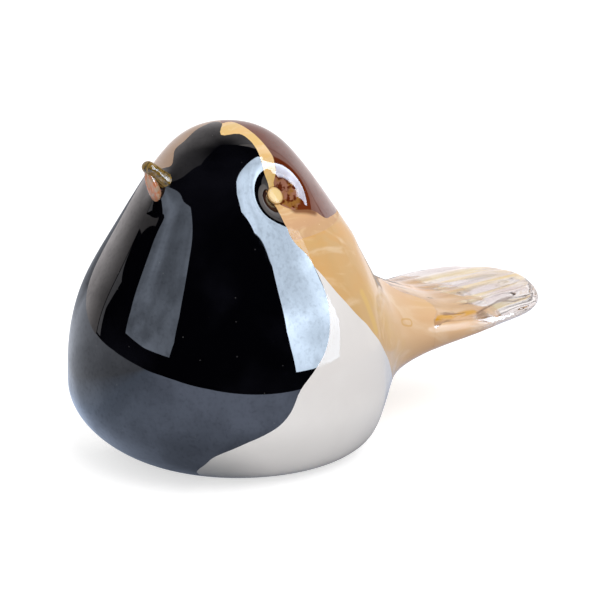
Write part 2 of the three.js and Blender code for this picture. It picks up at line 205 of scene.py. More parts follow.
def face_outwards(thing: bpy.types.Object) -> None:
    """Turns the faces of a closed mesh outwards, by the sign of the volume that they enclose.

    Args:
        thing: The closed mesh.
    """
    pick(thing)
    bpy.ops.object.mode_set(mode="EDIT")
    close_up()
    faces = thing.data.polygons
    if sum(face.area * face.center.dot(face.normal) for face in faces) < 0:
        thing.data.flip_normals()


def select_verts(thing: bpy.types.Object, wanted: set[int]) -> None:
    """Selects only these vertices of the object, in edit mode.

    Args:
        thing: The object that is open for editing.
        wanted: Indices of the vertices.
    """
    bpy.ops.mesh.select_mode(type="VERT")
    bpy.ops.mesh.select_all(action="DESELECT")
    bpy.ops.object.mode_set(mode="OBJECT")
    for vertex in thing.data.vertices:
        vertex.select = vertex.index in wanted
    bpy.ops.object.mode_set(mode="EDIT")


def extrude_by(step: Vector) -> None:
    """Extrudes the selection along a step."""
    bpy.ops.mesh.extrude_region_move(TRANSFORM_OT_translate={"value": tuple(step)})


def bezier(points: list[Vector], share: float) -> Vector:
    """A point of a cubic curve through four control points."""
    rest = 1 - share
    weights = (rest**3, 3 * rest**2 * share, 3 * rest * share**2, share**3)
    return sum((point * weight for point, weight in zip(points, weights)), Vector((0, 0)))


def through(points: list[Vector], share: float) -> Vector:
    """A point of the smooth curve through the middle two of four points.

    Args:
        points: Four points in order.
        share: How far the place lies from the second to the third.

    Returns:
        The point.
    """
    before, start, end, after = points
    square, cube = share * share, share**3
    return 0.5 * (
        2 * start
        + (end - before) * share
        + (2 * before - 5 * start + 4 * end - after) * square
        + (3 * start - before - 3 * end + after) * cube
    )


def evenly(points: list[Vector], count: int) -> list[Vector]:
    """Points at even distances along a line of many short steps.

    Args:
        points: The line.
        count: How many steps to divide it into.

    Returns:
        The first point, the points between the steps and the last point.
    """
    lengths = [(after - before).length for before, after in zip(points, points[1:])]
    step = sum(lengths) / count
    found, walked, wanted = [points[0]], 0.0, step
    for before, after, length in zip(points, points[1:], lengths):
        while wanted <= walked + length and len(found) < count:
            found.append(before.lerp(after, (wanted - walked) / length))
            wanted += step
        walked += length
    return found + [points[-1]]


def ease(share: float) -> float:
    """A share from 0 to 1, eased at both ends."""
    share = min(max(share, 0.0), 1.0)
    return share * share * (3 - 2 * share)


def trace(name: str, points: list[Vector]) -> bpy.types.Object:
    """Draws a closed line from point to point.

    Args:
        name: The new object's name.
        points: The corners in order.

    Returns:
        The line, open for editing and selected all over.
    """
    deselect()
    bpy.ops.mesh.primitive_plane_add(size=1, location=points[0])
    line = fresh(name)
    open_up()
    bpy.ops.mesh.merge(type="CENTER")
    for last, here in zip(points, points[1:]):
        extrude_by(here - last)
    select_verts(line, {0, len(points) - 1})
    bpy.ops.mesh.edge_face_add()
    bpy.ops.mesh.select_all(action="SELECT")
    return line


def extrude_to_point(point: Vector) -> None:
    """Extrudes the selected line and gathers it in one point."""
    extrude_by(Vector())
    bpy.ops.transform.resize(value=(0, 0, 0), center_override=tuple(point))
    bpy.ops.mesh.merge(type="CENTER")


def draw_sections(name: str, sections: tuple[Section, ...], count: int, fill: str) -> bpy.types.Object:
    """Draws a form out along Y, section by section.

    Args:
        name: The form's name.
        sections: Place along Y, half width, lower edge and upper edge of each section, in millimetres.
        count: Vertices round a section.
        fill: How the first section is filled.

    Returns:
        The form, open for editing with its last section selected.
    """
    reach, half_width, under, upper = sections[0]
    middle = (0, reach * MM, (under + upper) / 2 * MM)
    deselect()
    bpy.ops.mesh.primitive_circle_add(
        vertices=count,
        radius=1,
        fill_type=fill,
        location=middle,
        rotation=(math.pi / 2, 0, 0),
    )
    form = fresh(name)
    open_up()
    bpy.ops.transform.resize(value=(half_width * MM, 1, (upper - under) / 2 * MM), center_override=middle)
    for last, here in zip(sections, sections[1:]):
        rise = (here[2] + here[3] - last[2] - last[3]) / 2 * MM
        extrude_by(Vector((0, (here[0] - last[0]) * MM, rise)))
        bpy.ops.transform.resize(
            value=(here[1] / last[1], 1, (here[3] - here[2]) / (last[3] - last[2])),
            center_override=(0, here[0] * MM, (here[2] + here[3]) / 2 * MM),
        )
    return form


@dataclass(frozen=True)
class Touch:
    """One push or pull of the hot glass, fading out round a place."""

    place: Vector
    push: Vector
    falloff: str
    reach: float

    def moved(self, point: Vector) -> Vector:
        """Where the touch leaves a point of the skin."""
        near = max(0.0, 1 - (point - self.place).length / self.reach)
        share = ease(near) if self.falloff == "SMOOTH" else near**2
        return point + self.push * share


@dataclass
class BirdForm:
    """The outer skin of body and tail, as one smooth solid of glass."""

    foot_radius: float = 25 * MM
    foot_rounding: float = 6 * MM
    foot_sizes: tuple[float, ...] = (0.9, 0.7, 0.45, 0.2)
    belly_height: float = 19 * MM
    belly_rounding: float = 9.5 * MM
    flank_fullness: float = 0.58
    shoulder_below_crown: float = 27.5 * MM
    shoulder_radius: float = 28.5 * MM
    shoulder_slope: float = 59.0
    shoulder_bend: float = 14 * MM
    head_fullness: float = 0.685
    crown_rounding: float = 13.2 * MM
    belly_setting: float = 4.7 * MM
    head_lean: float = 1.4 * MM
    length_share: float = 1.05
    eye_angle: float = 93.5
    eye_height: float = 71.2 * MM
    socket_radius: float = 9.6 * MM
    socket_presses: tuple[tuple[str, float], ...] = (("SMOOTH", 2.8 * MM), ("SHARP", 2.1 * MM))
    pinch_height: float = 72.6 * MM
    pinch_pull: Place = (0, -1.5 * MM, 0.8 * MM)
    pinch_radius: float = 7.5 * MM
    around: int = 96
    rings: int = 72
    melting_low: tuple[float, float] = (26 * MM, 38 * MM)
    melting_high: tuple[float, float] = (70 * MM, 80 * MM)
    melting_rounds: int = 20
    tail_opening_angle: float = 35.0
    tail_opening_low: float = 6 * MM
    tail_opening_high: float = 43 * MM
    tail_shape: tuple[Section, ...] = (
        (46, 18.7, 12.6, 33.2),
        (52.3, 19.4, 14.6, 30.1),
        (57, 20.3, 15.9, 28.9),
        (62.3, 21.3, 17.2, 28.2),
        (70.3, 21.6, 18.8, 27.9),
        (76, 21.3, 19.2, 27.7),
        (81, 19.9, 19.5, 27.5),
        (85.5, 17.2, 19.8, 27.3),
        (89, 13.6, 20.2, 27.0),
        (91.8, 9.3, 20.8, 26.5),
        (93.4, 5.6, 21.5, 25.8),
        (94.0, 3.0, 22.2, 25.0),
    )
    smoothing_rounds: int = 46
    ribs: int = 6
    rib_height: float = 0.45 * MM
    rib_start: float = 58 * MM
    rib_end: float = 90 * MM
    rib_off_middle: float = 0.5 * MM
    rib_crest: float = 0.3
    rib_span: float = 0.8
    bridge_cuts: int = 6
    joint_front: float = 17 * MM
    joint_past_root: float = 8 * MM
    joint_top: float = 54 * MM
    stations: list[Vector] = field(init=False)
    touches: list[Touch] = field(init=False, default_factory=list)
    socket_axes: dict[Side, Vector] = field(init=False, default_factory=dict)

    def __post_init__(self) -> None:
        """Works out the body's half outline from three curves, evened out and melted smooth."""
        slope = math.radians(self.shoulder_slope)
        up = Vector((-math.cos(slope), math.sin(slope)))
        shoulder_height = BODY_HEIGHT - self.shoulder_below_crown
        belly = Vector((BODY_WIDTH / 2, self.belly_height))
        shoulder = Vector((self.shoulder_radius, shoulder_height))
        flank_rise = self.flank_fullness * (shoulder_height - self.belly_height)
        head_rise = self.head_fullness * self.shoulder_below_crown / up.y
        foot = Vector((self.foot_radius, 0))
        outlines = [
            [
                foot,
                foot + Vector((self.foot_rounding, 0)),
                belly - Vector((0, self.belly_rounding)),
                belly,
            ],
            [
                belly,
                belly + Vector((0, flank_rise)),
                shoulder - up * self.shoulder_bend,
                shoulder,
            ],
            [
                shoulder,
                shoulder + up * head_rise,
                Vector((self.crown_rounding, BODY_HEIGHT)),
                Vector((0, BODY_HEIGHT)),
            ],
        ]

        steps = 60
        line = [bezier(outline, step / steps) for outline in outlines for step in range(steps)]
        self.stations = evenly(line + [outlines[-1][-1]], self.rings)
        for _ in range(self.melting_rounds):
            self.stations = self.melted(self.stations)

    def melted(self, stations: list[Vector]) -> list[Vector]:
        """The outline with each inner station drawn towards the middle of its neighbours.

        Args:
            stations: The outline from the foot up.

        Returns:
            The outline, a little smoother.
        """
        low, low_end = self.melting_low
        high_start, high = self.melting_high
        found = [stations[0]]
        for before, here, after in zip(stations, stations[1:], stations[2:]):
            rise = min((here.y - low) / (low_end - low), (high - here.y) / (high - high_start))
            found.append(here.lerp((before + after) / 2, 0.5 * ease(rise)))
        return found + [stations[-1]]

    def spine(self, height: float) -> float:
        """How far the middle of the body lies along Y at a height.

        Args:
            height: The height.

        Returns:
            The place along Y.
        """
        if height < self.belly_height:
            share = height / self.belly_height
            return -self.belly_setting * (1 - (1 - share) ** 2)
        share = (height - self.belly_height) / (BODY_HEIGHT - self.belly_height)
        return -self.belly_setting - self.head_lean * share**2

    def radius_at(self, height: float) -> float:
        """The body's radius across at a height.

        Args:
            height: The height.

        Returns:
            The radius.
        """
        for before, after in zip(self.stations, self.stations[1:]):
            if height <= after.y:
                share = (height - before.y) / (after.y - before.y)
                return before.x + (after.x - before.x) * share
        return 0.0

    def skin(self, height: float, angle: float) -> Vector:
        """A point of the skin.

        Args:
            height: Height above the foot.
            angle: Degrees from the beak round to the bird's left.

        Returns:
            The point.
        """
        radius = self.radius_at(height)
        turn = math.radians(angle)
        return Vector(
            (
                radius * math.sin(turn),
                self.spine(height) - radius * self.length_share * math.cos(turn),
                height,
            )
        )

    def outward(self, height: float, angle: float) -> Vector:
        """The direction out of the skin at a point."""
        step = 0.2 * MM
        up = self.skin(height + step, angle) - self.skin(height - step, angle)
        round_ = self.skin(height, angle + 0.2) - self.skin(height, angle - 0.2)
        return round_.cross(up).normalized()

    def pressed(self, point: Vector) -> Vector:
        """Where a point of the skin lies once the sockets are pressed and the beak is pinched."""
        for touch in self.touches:
            point = touch.moved(point)
        return point

    def blow_body(self) -> bpy.types.Object:
        """Draws the body up ring by ring from its foot and closes it at both ends.

        Returns:
            The body without its tail.
        """
        stations = self.stations
        deselect()
        bpy.ops.mesh.primitive_circle_add(
            vertices=self.around,
            radius=stations[0].x,
            fill_type="NOTHING",
        )
        body = fresh("bird_form")
        bpy.ops.object.mode_set(mode="EDIT")
        bpy.ops.mesh.select_all(action="SELECT")
        bpy.ops.transform.resize(value=(1, self.length_share, 1))
        for last, here in zip(stations, stations[1:]):
            step = Vector((0, self.spine(here.y) - self.spine(last.y), here.y - last.y))
            extrude_by(step)
            if here.x > 0:
                size = here.x / last.x
                middle = (0, self.spine(here.y), here.y)
                bpy.ops.transform.resize(value=(size, size, 1), center_override=middle)
            else:
                bpy.ops.mesh.merge(type="CENTER")
        select_verts(body, set(range(self.around)))
        last_size = 1.0
        for size in self.foot_sizes:
            extrude_by(Vector())
            bpy.ops.transform.resize(
                value=(size / last_size, size / last_size, 1),
                center_override=(0, 0, 0),
            )
            last_size = size
        extrude_by(Vector())
        bpy.ops.mesh.merge(type="CENTER")
        close_up()
        return body

    def touch(
        self,
        body: bpy.types.Object,
        place: Vector,
        pushes: list[tuple[str, Vector]],
        reach: float,
    ) -> None:
        """Pushes or pulls the skin at a place, one push after another.

        Args:
            body: The body.
            place: Where the skin is touched.
            pushes: The kind of fading and the way of each push.
            reach: How far round the place the touch fades out.
        """
        vertices = body.data.vertices
        nearest = min(vertices, key=lambda vertex: (vertex.co - place).length).index
        start = vertices[nearest].co.copy()
        pick(body)
        bpy.ops.object.mode_set(mode="EDIT")
        select_verts(body, {nearest})
        for falloff, push in pushes:
            bpy.ops.transform.translate(
                value=tuple(push),
                use_proportional_edit=True,
                proportional_edit_falloff=falloff,
                proportional_size=reach,
            )
            self.touches.append(Touch(start.copy(), push, falloff, reach))
            start += push
        bpy.ops.object.mode_set(mode="OBJECT")

    def press_sockets(self, body: bpy.types.Object) -> None:
        """Presses the two round eye sockets into the head.

        Args:
            body: The body.
        """
        for side in Side:
            angle = side.value * self.eye_angle
            outward = self.outward(self.eye_height, angle)
            self.socket_axes[side] = outward
            pushes = [(falloff, -outward * depth) for falloff, depth in self.socket_presses]
            self.touch(body, self.skin(self.eye_height, angle), pushes, self.socket_radius)

    def pinch_face(self, body: bpy.types.Object) -> None:
        """Pulls the skin out a little at the beak's root."""
        place = self.skin(self.pinch_height, 0)
        self.touch(body, place, [("SHARP", Vector(self.pinch_pull))], self.pinch_radius)

    def open_back(self, body: bpy.types.Object) -> int:
        """Opens the back of the body where the tail is drawn out.

        Args:
            body: The body.

        Returns:
            How many vertices the opening's edge has.
        """
        pick(body)
        bpy.ops.object.mode_set(mode="EDIT")
        bpy.ops.mesh.select_mode(type="FACE")
        bpy.ops.mesh.select_all(action="DESELECT")
        bpy.ops.object.mode_set(mode="OBJECT")
        for face in body.data.polygons:
            x, y, z = face.center
            turn = math.degrees(math.atan2(abs(x), y - self.spine(z)))
            middle = (self.tail_opening_low + self.tail_opening_high) / 2
            half = (self.tail_opening_high - self.tail_opening_low) / 2
            across, upward = turn / self.tail_opening_angle, (z - middle) / half
            face.select = across**2 + upward**2 < 1
        bpy.ops.object.mode_set(mode="EDIT")
        bpy.ops.mesh.delete(type="FACE")
        bpy.ops.mesh.select_mode(type="EDGE")
        bpy.ops.mesh.select_non_manifold()
        bpy.ops.object.mode_set(mode="OBJECT")
        return sum(1 for vertex in body.data.vertices if vertex.select)

    def draw_tail(self, count: int) -> bpy.types.Object:
        """Draws the tail out station by station and closes its tip.

        Args:
            count: Vertices round the tail.

        Returns:
            The tail, open at its root.
        """
        tail = draw_sections("tail_form", self.tail_shape, count, "NOTHING")
        extrude_by(Vector((0, TAIL_TIP - self.tail_shape[-1][0] * MM, 0)))
        bpy.ops.mesh.merge(type="CENTER")
        bpy.ops.object.mode_set(mode="OBJECT")
        self.press_ribs(tail)
        return tail

    def press_ribs(self, tail: bpy.types.Object) -> None:
        """Presses long ribs into the tail's upper and lower faces.

        Args:
            tail: The tail.
        """
        pick(tail)
        bpy.ops.object.mode_set(mode="EDIT")
        for upward in (1, -1):
            for crest in (1, -1):
                chosen = set()
                for vertex in tail.data.vertices:
                    x, y, z = vertex.co
                    across = x / TAIL_HALF_WIDTH
                    wave = math.cos(self.ribs * math.pi * across)
                    along = self.rib_start < y < self.rib_end
                    on_face = (z - self.tail_middle(y)) * upward > self.rib_off_middle
                    on_crest = wave * crest > self.rib_crest and abs(across) < self.rib_span
                    if along and on_face and on_crest:
                        chosen.add(vertex.index)
                select_verts(tail, chosen)
                bpy.ops.transform.translate(value=(0, 0, upward * crest * self.rib_height / 2))
        bpy.ops.object.mode_set(mode="OBJECT")

    def tail_middle(self, reach: float) -> float:
        """Height of the tail's middle at a place along it.

        Args:
            reach: The place along Y.

        Returns:
            The height.
        """
        for last, here in zip(self.tail_shape, self.tail_shape[1:]):
            if reach <= here[0] * MM:
                share = (reach / MM - last[0]) / (here[0] - last[0])
                start, end = (last[2] + last[3]) / 2, (here[2] + here[3]) / 2
                return (start + (end - start) * share) * MM
        return (self.tail_shape[-1][2] + self.tail_shape[-1][3]) / 2 * MM

    def join_tail(self, body: bpy.types.Object, tail: bpy.types.Object) -> None:
        """Bridges the tail's root to the opening in the back and melts the joint smooth.

        Args:
            body: The body, open at the back. It takes the tail in.
            tail: The tail, open at its root.
        """
        root = self.tail_shape[0][0] * MM
        pick(body, tail)
        bpy.ops.object.join()
        bpy.ops.object.mode_set(mode="EDIT")
        bpy.ops.mesh.select_mode(type="EDGE")
        bpy.ops.mesh.select_all(action="DESELECT")
        bpy.ops.mesh.select_non_manifold()
        bpy.ops.mesh.bridge_edge_loops(
            number_cuts=self.bridge_cuts,
            interpolation="SURFACE",
            smoothness=1.0,
        )
        bpy.ops.object.mode_set(mode="OBJECT")
        near = set()
        for vertex in body.data.vertices:
            _, y, z = vertex.co
            if self.joint_front < y < root + self.joint_past_root and z < self.joint_top:
                near.add(vertex.index)
        bpy.ops.object.mode_set(mode="EDIT")
        select_verts(body, near)
        bpy.ops.mesh.vertices_smooth(factor=0.5, repeat=self.smoothing_rounds)
        close_up()

    def build(self) -> bpy.types.Object:
        """Makes the whole outer form.

        Returns:
            A closed solid of body and tail.
        """
        body = self.blow_body()
        self.press_sockets(body)
        self.pinch_face(body)
        count = self.open_back(body)
        tail = self.draw_tail(count)
        self.join_tail(body, tail)
        apply_modifier(body, "SUBSURF", levels=1, render_levels=1)
        pick(body)
        bpy.ops.object.shade_smooth()
        log.info("bird_form: %d faces, edge of the opening %d", len(body.data.polygons), count)
        return body


@dataclass
class Outlines:
    """Edges of the colours on the skin, as shares of the bird's height and degrees round from the beak."""

    bib_crown: tuple[tuple[float, float], ...] = (
        (0.8982, -5.2), (0.9083, -2.5), (0.9221, -6.2), (0.9413, -14.0), (0.9658, -12.5), (0.9880, -27.5),
        (0.9945, -42.8), (0.9968, -77.8),
    )
    stripe_end: tuple[float, float] = (0.9997, -16.2)
    bib_brow: tuple[tuple[float, float], ...] = (
        (0.9871, 43.0), (0.9871, 79.0), (0.9734, 87.5), (0.9526, 88.2), (0.9303, 86.8), (0.9043, 86.0),
        (0.8900, 87.2), (0.8790, 89.2), (0.8706, 90.2),
    )
    bib_side: tuple[tuple[float, float], ...] = (
        (0.8450, 92.0), (0.8150, 90.5), (0.7977, 88.5), (0.7685, 86.2), (0.7473, 86.5), (0.7312, 86.5),
        (0.7062, 88.2), (0.6696, 92.5), (0.6190, 94.0), (0.5646, 94.2), (0.5147, 92.8), (0.4619, 90.5),
        (0.4149, 87.2), (0.3729, 82.5), (0.3227, 76.5), (0.2637, 73.0), (0.2252, 68.8), (0.1962, 62.5),
        (0.1727, 56.0), (0.1334, 46.2), (0.0969, 40.8), (0.0495, 33.8), (0.0000, 28.0),
    )
    bib_cheek: tuple[tuple[float, float], ...] = (
        (0.8520, -84.0), (0.8560, -66.0), (0.8650, -44.0), (0.8780, -22.0),
    )
    cap_side: tuple[tuple[float, float], ...] = (
        (0.9991, 186.5), (0.9913, 111.5), (0.9729, 104.8), (0.9510, 103.0), (0.9278, 101.8),
        (0.9096, 99.8), (0.8941, 99.2), (0.8762, 96.2), (0.8706, 95.8), (0.8450, 97.0), (0.8260, 95.4),
        (0.8143, 95.8), (0.7999, 98.0), (0.7904, 101.0), (0.7729, 111.0), (0.7415, 118.5),
        (0.7349, 127.0), (0.7210, 150.0),
    )
    cap_nape: tuple[float, float] = (0.716, 180.0)
    cap_crown: tuple[float, float] = (0.9997, -37.5)
    amber_side: tuple[tuple[float, float], ...] = (
        (0.7800, 84.0), (0.7050, 85.5), (0.6650, 90.5), (0.6450, 93.0), (0.6256, 95.2), (0.5923, 97.8),
        (0.5601, 100.2), (0.5310, 102.8), (0.4997, 105.5), (0.4740, 108.2), (0.4504, 111.0),
        (0.4199, 113.8), (0.3872, 117.3), (0.3457, 121.2), (0.2962, 127.7), (0.2130, 138.0),
        (0.1180, 160.0),
    )
    amber_heel: tuple[float, float] = (0.110, 180.0)
    amber_nape: tuple[float, float] = (0.850, 180.0)
    dot: tuple[float, float] = (0.8438, 94.2)


def mirrored(points: tuple[tuple[float, float], ...]) -> list[tuple[float, float]]:
    """The same edge on the bird's other side, in the opposite order."""
    return [(share, -angle) for share, angle in reversed(points)]


@dataclass
class Colouring:
    """The layers of coloured glass, cut from one shell so that the skin runs on over their seams."""

    form: BirdForm
    outlines: Outlines = field(default_factory=Outlines)
    wall: float = 2.5 * MM
    points_between: int = 4
    tool_reach: float = 2.4
    pole_reach: float = 0.25
    bib_heart: float = 45 * MM
    cap_heart: float = 60 * MM
    amber_heart: float = 40 * MM
    stripe_foot: float = 60.5 * MM
    stripe_meeting: float = -1.5 * MM
    forehead: float = -16 * MM
    dot_radius: float = 2.3 * MM
    ring_radius: float = 3.0 * MM
    bead_rim: float = 1.1 * MM
    bead_depth: float = 2.6 * MM
    bead_dome: float = 0.35 * MM
    bead_tilts: tuple[float, ...] = (12, 30, 48, 66, 80)
    vent_radius: float = 1.5 * MM
    vent_setting: float = 12 * MM
    vent_depth: float = 8 * MM
    punch_depth: float = 10 * MM
    seam_angle: float = 40.0
    settling_reach: float = 0.02 * MM

    def on_pressed_skin(self, share: float, angle: float) -> Vector:
        """The point of the finished skin at a share of the height and an angle."""
        return self.form.pressed(self.form.skin(share * BODY_HEIGHT, angle))

    def on_skin(self, edge: list[tuple[float, float]]) -> list[Vector]:
        """A closed line on the skin, rounded between the edge's points.

        Args:
            edge: Shares of height and angles.

        Returns:
            Points along the line.
        """
        corners = [self.on_pressed_skin(*place) for place in edge]
        points = []
        for index in range(len(corners)):
            around = [corners[(index + step) % len(corners)] for step in (-1, 0, 1, 2)]
            for part in range(self.points_between):
                points.append(through(around, part / self.points_between))
        return points

    def spreading_tool(
        self,
        name: str,
        edge: list[tuple[float, float]],
        height: float,
        towards: Vector,
    ) -> bpy.types.Object:
        """A solid that spreads from the heart of the glass out through a closed line on its skin.

        Args:
            name: The tool's name.
            edge: The line, as shares of height and angles.
            height: Height of the heart.
            towards: The direction in which the tool faces.

        Returns:
            The tool.
        """
        heart = Vector((0, self.form.spine(height), height))
        line = [heart + (point - heart) * self.tool_reach for point in self.on_skin(edge)]
        tool = trace(name, line)
        extrude_to_point(heart)
        bpy.ops.object.mode_set(mode="OBJECT")
        bpy.ops.object.mode_set(mode="EDIT")
        select_verts(tool, set(range(len(line))))
        extrude_to_point(heart + towards.normalized() * self.pole_reach)
        face_outwards(tool)
        return tool

    def bib_tool(self) -> bpy.types.Object:
        """The space of the black bib."""
        lines = self.outlines
        edge = [*lines.bib_crown, lines.stripe_end, *lines.bib_brow, *lines.bib_side]
        edge += mirrored(lines.bib_side) + list(lines.bib_cheek)
        return self.spreading_tool("bib_space", edge, self.bib_heart, Vector((0, -1, 0)))

    def cap_tool(self) -> bpy.types.Object:
        """The space of the brown cap."""
        lines = self.outlines
        edge = [lines.cap_crown, *lines.cap_side, lines.cap_nape] + mirrored(lines.cap_side[1:])
        return self.spreading_tool("cap_space", edge, self.cap_heart, Vector((0, 1, 1)))

    def amber_tool(self) -> bpy.types.Object:
        """The space of the amber back and the tail's root."""
        lines = self.outlines
        edge = list(lines.amber_side) + [lines.amber_heel] + mirrored(lines.amber_side) + [lines.amber_nape]
        return self.spreading_tool("amber_space", edge, self.amber_heart, Vector((0, 1, 0)))

    def eye_tool(self, side: Side, radius: float) -> bpy.types.Object:
        """A round punch through the skin at an eye.

        Args:
            side: The eye's side.
            radius: The punch's radius.

        Returns:
            The punch.
        """
        share, angle = self.outlines.dot
        place = self.on_pressed_skin(share, side.value * angle)
        axis = self.form.socket_axes[side]
        deselect()
        bpy.ops.mesh.primitive_cylinder_add(
            vertices=48,
            radius=radius,
            depth=self.punch_depth,
            location=place,
            rotation=axis.to_track_quat("Z", "Y").to_euler(),
        )
        return fresh("eye_punch")

    def drop_bead(self, side: Side) -> bpy.types.Object:
        """The bead of peach glass that fills the eye's hole, with a low dome.

        Args:
            side: The eye's side.

        Returns:
            The bead.
        """
        share, angle = self.outlines.dot
        axis = self.form.socket_axes[side]
        rim = self.on_pressed_skin(share, side.value * angle) + axis * self.bead_rim
        inner = rim - axis * self.bead_depth
        deselect()
        bpy.ops.mesh.primitive_circle_add(
            vertices=32,
            radius=self.dot_radius,
            fill_type="NGON",
            location=inner,
            rotation=axis.to_track_quat("Z", "Y").to_euler(),
        )
        bead = fresh(f"eye_dot_{side.word}_glass")
        open_up()
        extrude_by(axis * self.bead_depth)
        last_size, last_rise = 1.0, 0.0
        for tilt in self.bead_tilts:
            size = math.cos(math.radians(tilt))
            rise = math.sin(math.radians(tilt)) * self.bead_dome
            extrude_by(axis * (rise - last_rise))
            ratio = size / last_size
            bpy.ops.transform.resize(value=(ratio, ratio, ratio), center_override=tuple(rim + axis * rise))
            last_size, last_rise = size, rise
        bpy.ops.object.mode_set(mode="OBJECT")
        face_outwards(bead)
        apply_modifier(bead, "SUBSURF", levels=1, render_levels=1)
        pick(bead)
        bpy.ops.object.shade_smooth()
        return bead

    def blow_shell(self, master: bpy.types.Object) -> bpy.types.Object:
        """The hollow wall of the body and of the tail's root."""
        shell = duplicate(master, "glass_wall")
        apply_modifier(shell, "SOLIDIFY", thickness=self.wall, offset=-1)
        return shell

    def share_out(self, root: bpy.types.Object) -> dict[str, bpy.types.Object]:
        """Cuts the shell into its colours.

        Args:
            root: The outer form without the clear part of the tail.

        Returns:
            The pieces by name.
        """
        rest = self.blow_shell(root)
        pieces = {}

        def take(name: str, tool: bpy.types.Object) -> None:
            """Takes what lies in the tool out of the rest, as a piece."""
            piece = duplicate(rest, f"{name}_glass")
            cut(piece, tool, "INTERSECT")
            cut(rest, tool, "DIFFERENCE")
            pieces[name] = piece
            discard(tool)

        for side in Side:
            socket = self.eye_tool(side, self.dot_radius)
            cut(rest, socket, "DIFFERENCE")
            discard(socket)
            pieces[f"eye_dot_{side.word}"] = self.drop_bead(side)
            ring = self.eye_tool(side, self.ring_radius)
            bib = self.bib_tool()
            cut(ring, bib, "INTERSECT")
            discard(bib)
            take(f"eye_ring_{side.word}", ring)
        take("black_bib", self.bib_tool())
        keep_whole(pieces["black_bib"])
        take("brown_cap", self.cap_tool())
        for side in Side:
            take(f"brow_stripe_{side.word}", self.stripe_tool(side))
        take("amber_back", self.amber_tool())
        vent = self.vent_tool()
        cut(rest, vent, "DIFFERENCE")
        discard(vent)
        rest.name = rest.data.name = "opal_body_glass"
        pieces["opal_body"] = rest
        return pieces

    def stripe_tool(self, side: Side) -> bpy.types.Object:
        """The block above a stripe's foot.

        Args:
            side: The left stripe, cut first, lies behind the forehead and left of the crown's parting. The
                right one takes all that is left, so the patch on the forehead stays in one piece.

        Returns:
            The block.
        """
        size = BODY_HEIGHT
        middle = (self.stripe_meeting + size, self.forehead + size) if side is Side.LEFT else (0, 0)
        deselect()
        bpy.ops.mesh.primitive_cube_add(size=2 * size, location=(*middle, self.stripe_foot + size))
        return fresh("stripe_block")

    def vent_tool(self) -> bpy.types.Object:
        """The blowing hole through the foot.

        Returns:
            The punch.
        """
        deselect()
        bpy.ops.mesh.primitive_cylinder_add(
            vertices=32,
            radius=self.vent_radius,
            depth=self.vent_depth,
            location=(0, self.vent_setting, 0),
        )
        return fresh("vent_punch")

    def smooth(self, piece: bpy.types.Object) -> None:
        """Shades a piece smooth up to its cut edges."""
        pick(piece)
        bpy.ops.object.shade_smooth_by_angle(angle=math.radians(self.seam_angle))

    def settle(self, piece: bpy.types.Object, master: bpy.types.Object) -> None:
        """Shades a piece as the whole skin was, so that a reflection runs on over its seams.

        Args:
            piece: The piece.
            master: The whole skin.
        """
        apply_modifier(
            piece,
            "DATA_TRANSFER",
            object=master,
            use_loop_data=True,
            data_types_loops={"CUSTOM_NORMAL"},
            loop_mapping="POLYINTERP_NEAREST",
            use_max_distance=True,
            max_distance=self.settling_reach,
        )


@dataclass
class Tail:
    """The clear paddle and the amber tongue in it."""

    edge: tuple[tuple[float, float], ...] = (
        (0, 39.5), (5, 39.8), (9, 41), (10.3, 44), (10.4, 47), (11.2, 50), (13.7, 51), (16, 50.4),
        (18, 47.5), (20, 46.5), (27, 46.5),
    )
    lap: float = 0.1 * MM
    tongue_shape: tuple[Section, ...] = (
        (39.5, 24, -6.0, 34.6),
        (41, 24, -6.0, 34.2),
        (44, 24, -6.0, 33.2),
        (47, 24, -6.0, 32.0),
        (50, 24, 6.0, 30.2),
        (53, 24, 10.0, 28.6),
        (58, 24, 12.5, 27.6),
        (63, 25, 14.0, 27.0),
        (66, 26, 13.5, 25.0),
        (70, 26, 12.5, 22.6),
        (74, 26, 11.5, 20.8),
    )
    tongue_poke: float = 0.06 * MM
    tongue_around: int = 40
    tongue_seam: float = 50.0

    def tool(self, forward: float = 0.0) -> bpy.types.Object:
        """The space of the clear glass seen from above, moved forward by a little where pieces overlap.

        Args:
            forward: How far the space is moved forward.

        Returns:
            The space as a solid.
        """
        near = [Vector((x * MM, y * MM - forward, 0)) for x, y in self.edge]
        far = [Vector((-point.x, point.y, 0)) for point in reversed(near[1:])]
        behind = 2 * TAIL_TIP
        corners = [Vector((near[-1].x, behind, 0)), Vector((far[0].x, behind, 0))]
        tool = trace("clear_space", near + corners + far)
        bpy.ops.mesh.edge_face_add()
        extrude_by(Vector((0, 0, BODY_HEIGHT)))
        face_outwards(tool)
        return tool

    def draw_tongue(self, paddle: bpy.types.Object) -> bpy.types.Object:
        """The amber that thins out into the paddle and comes to its surface below.

        Args:
            paddle: The clear glass round it.

        Returns:
            The tongue.
        """
        tongue = draw_sections(
            "tail_amber_tongue_glass",
            self.tongue_shape,
            self.tongue_around,
            "NGON",
        )
        close_up()
        apply_modifier(tongue, "SUBSURF", levels=1, render_levels=1)
        cut(tongue, paddle, "INTERSECT")
        pick(tongue)
        bpy.ops.object.mode_set(mode="EDIT")
        bpy.ops.mesh.select_all(action="SELECT")
        bpy.ops.transform.shrink_fatten(value=self.tongue_poke)
        bpy.ops.object.mode_set(mode="OBJECT")
        bpy.ops.object.shade_smooth_by_angle(angle=math.radians(self.tongue_seam))
        return tongue


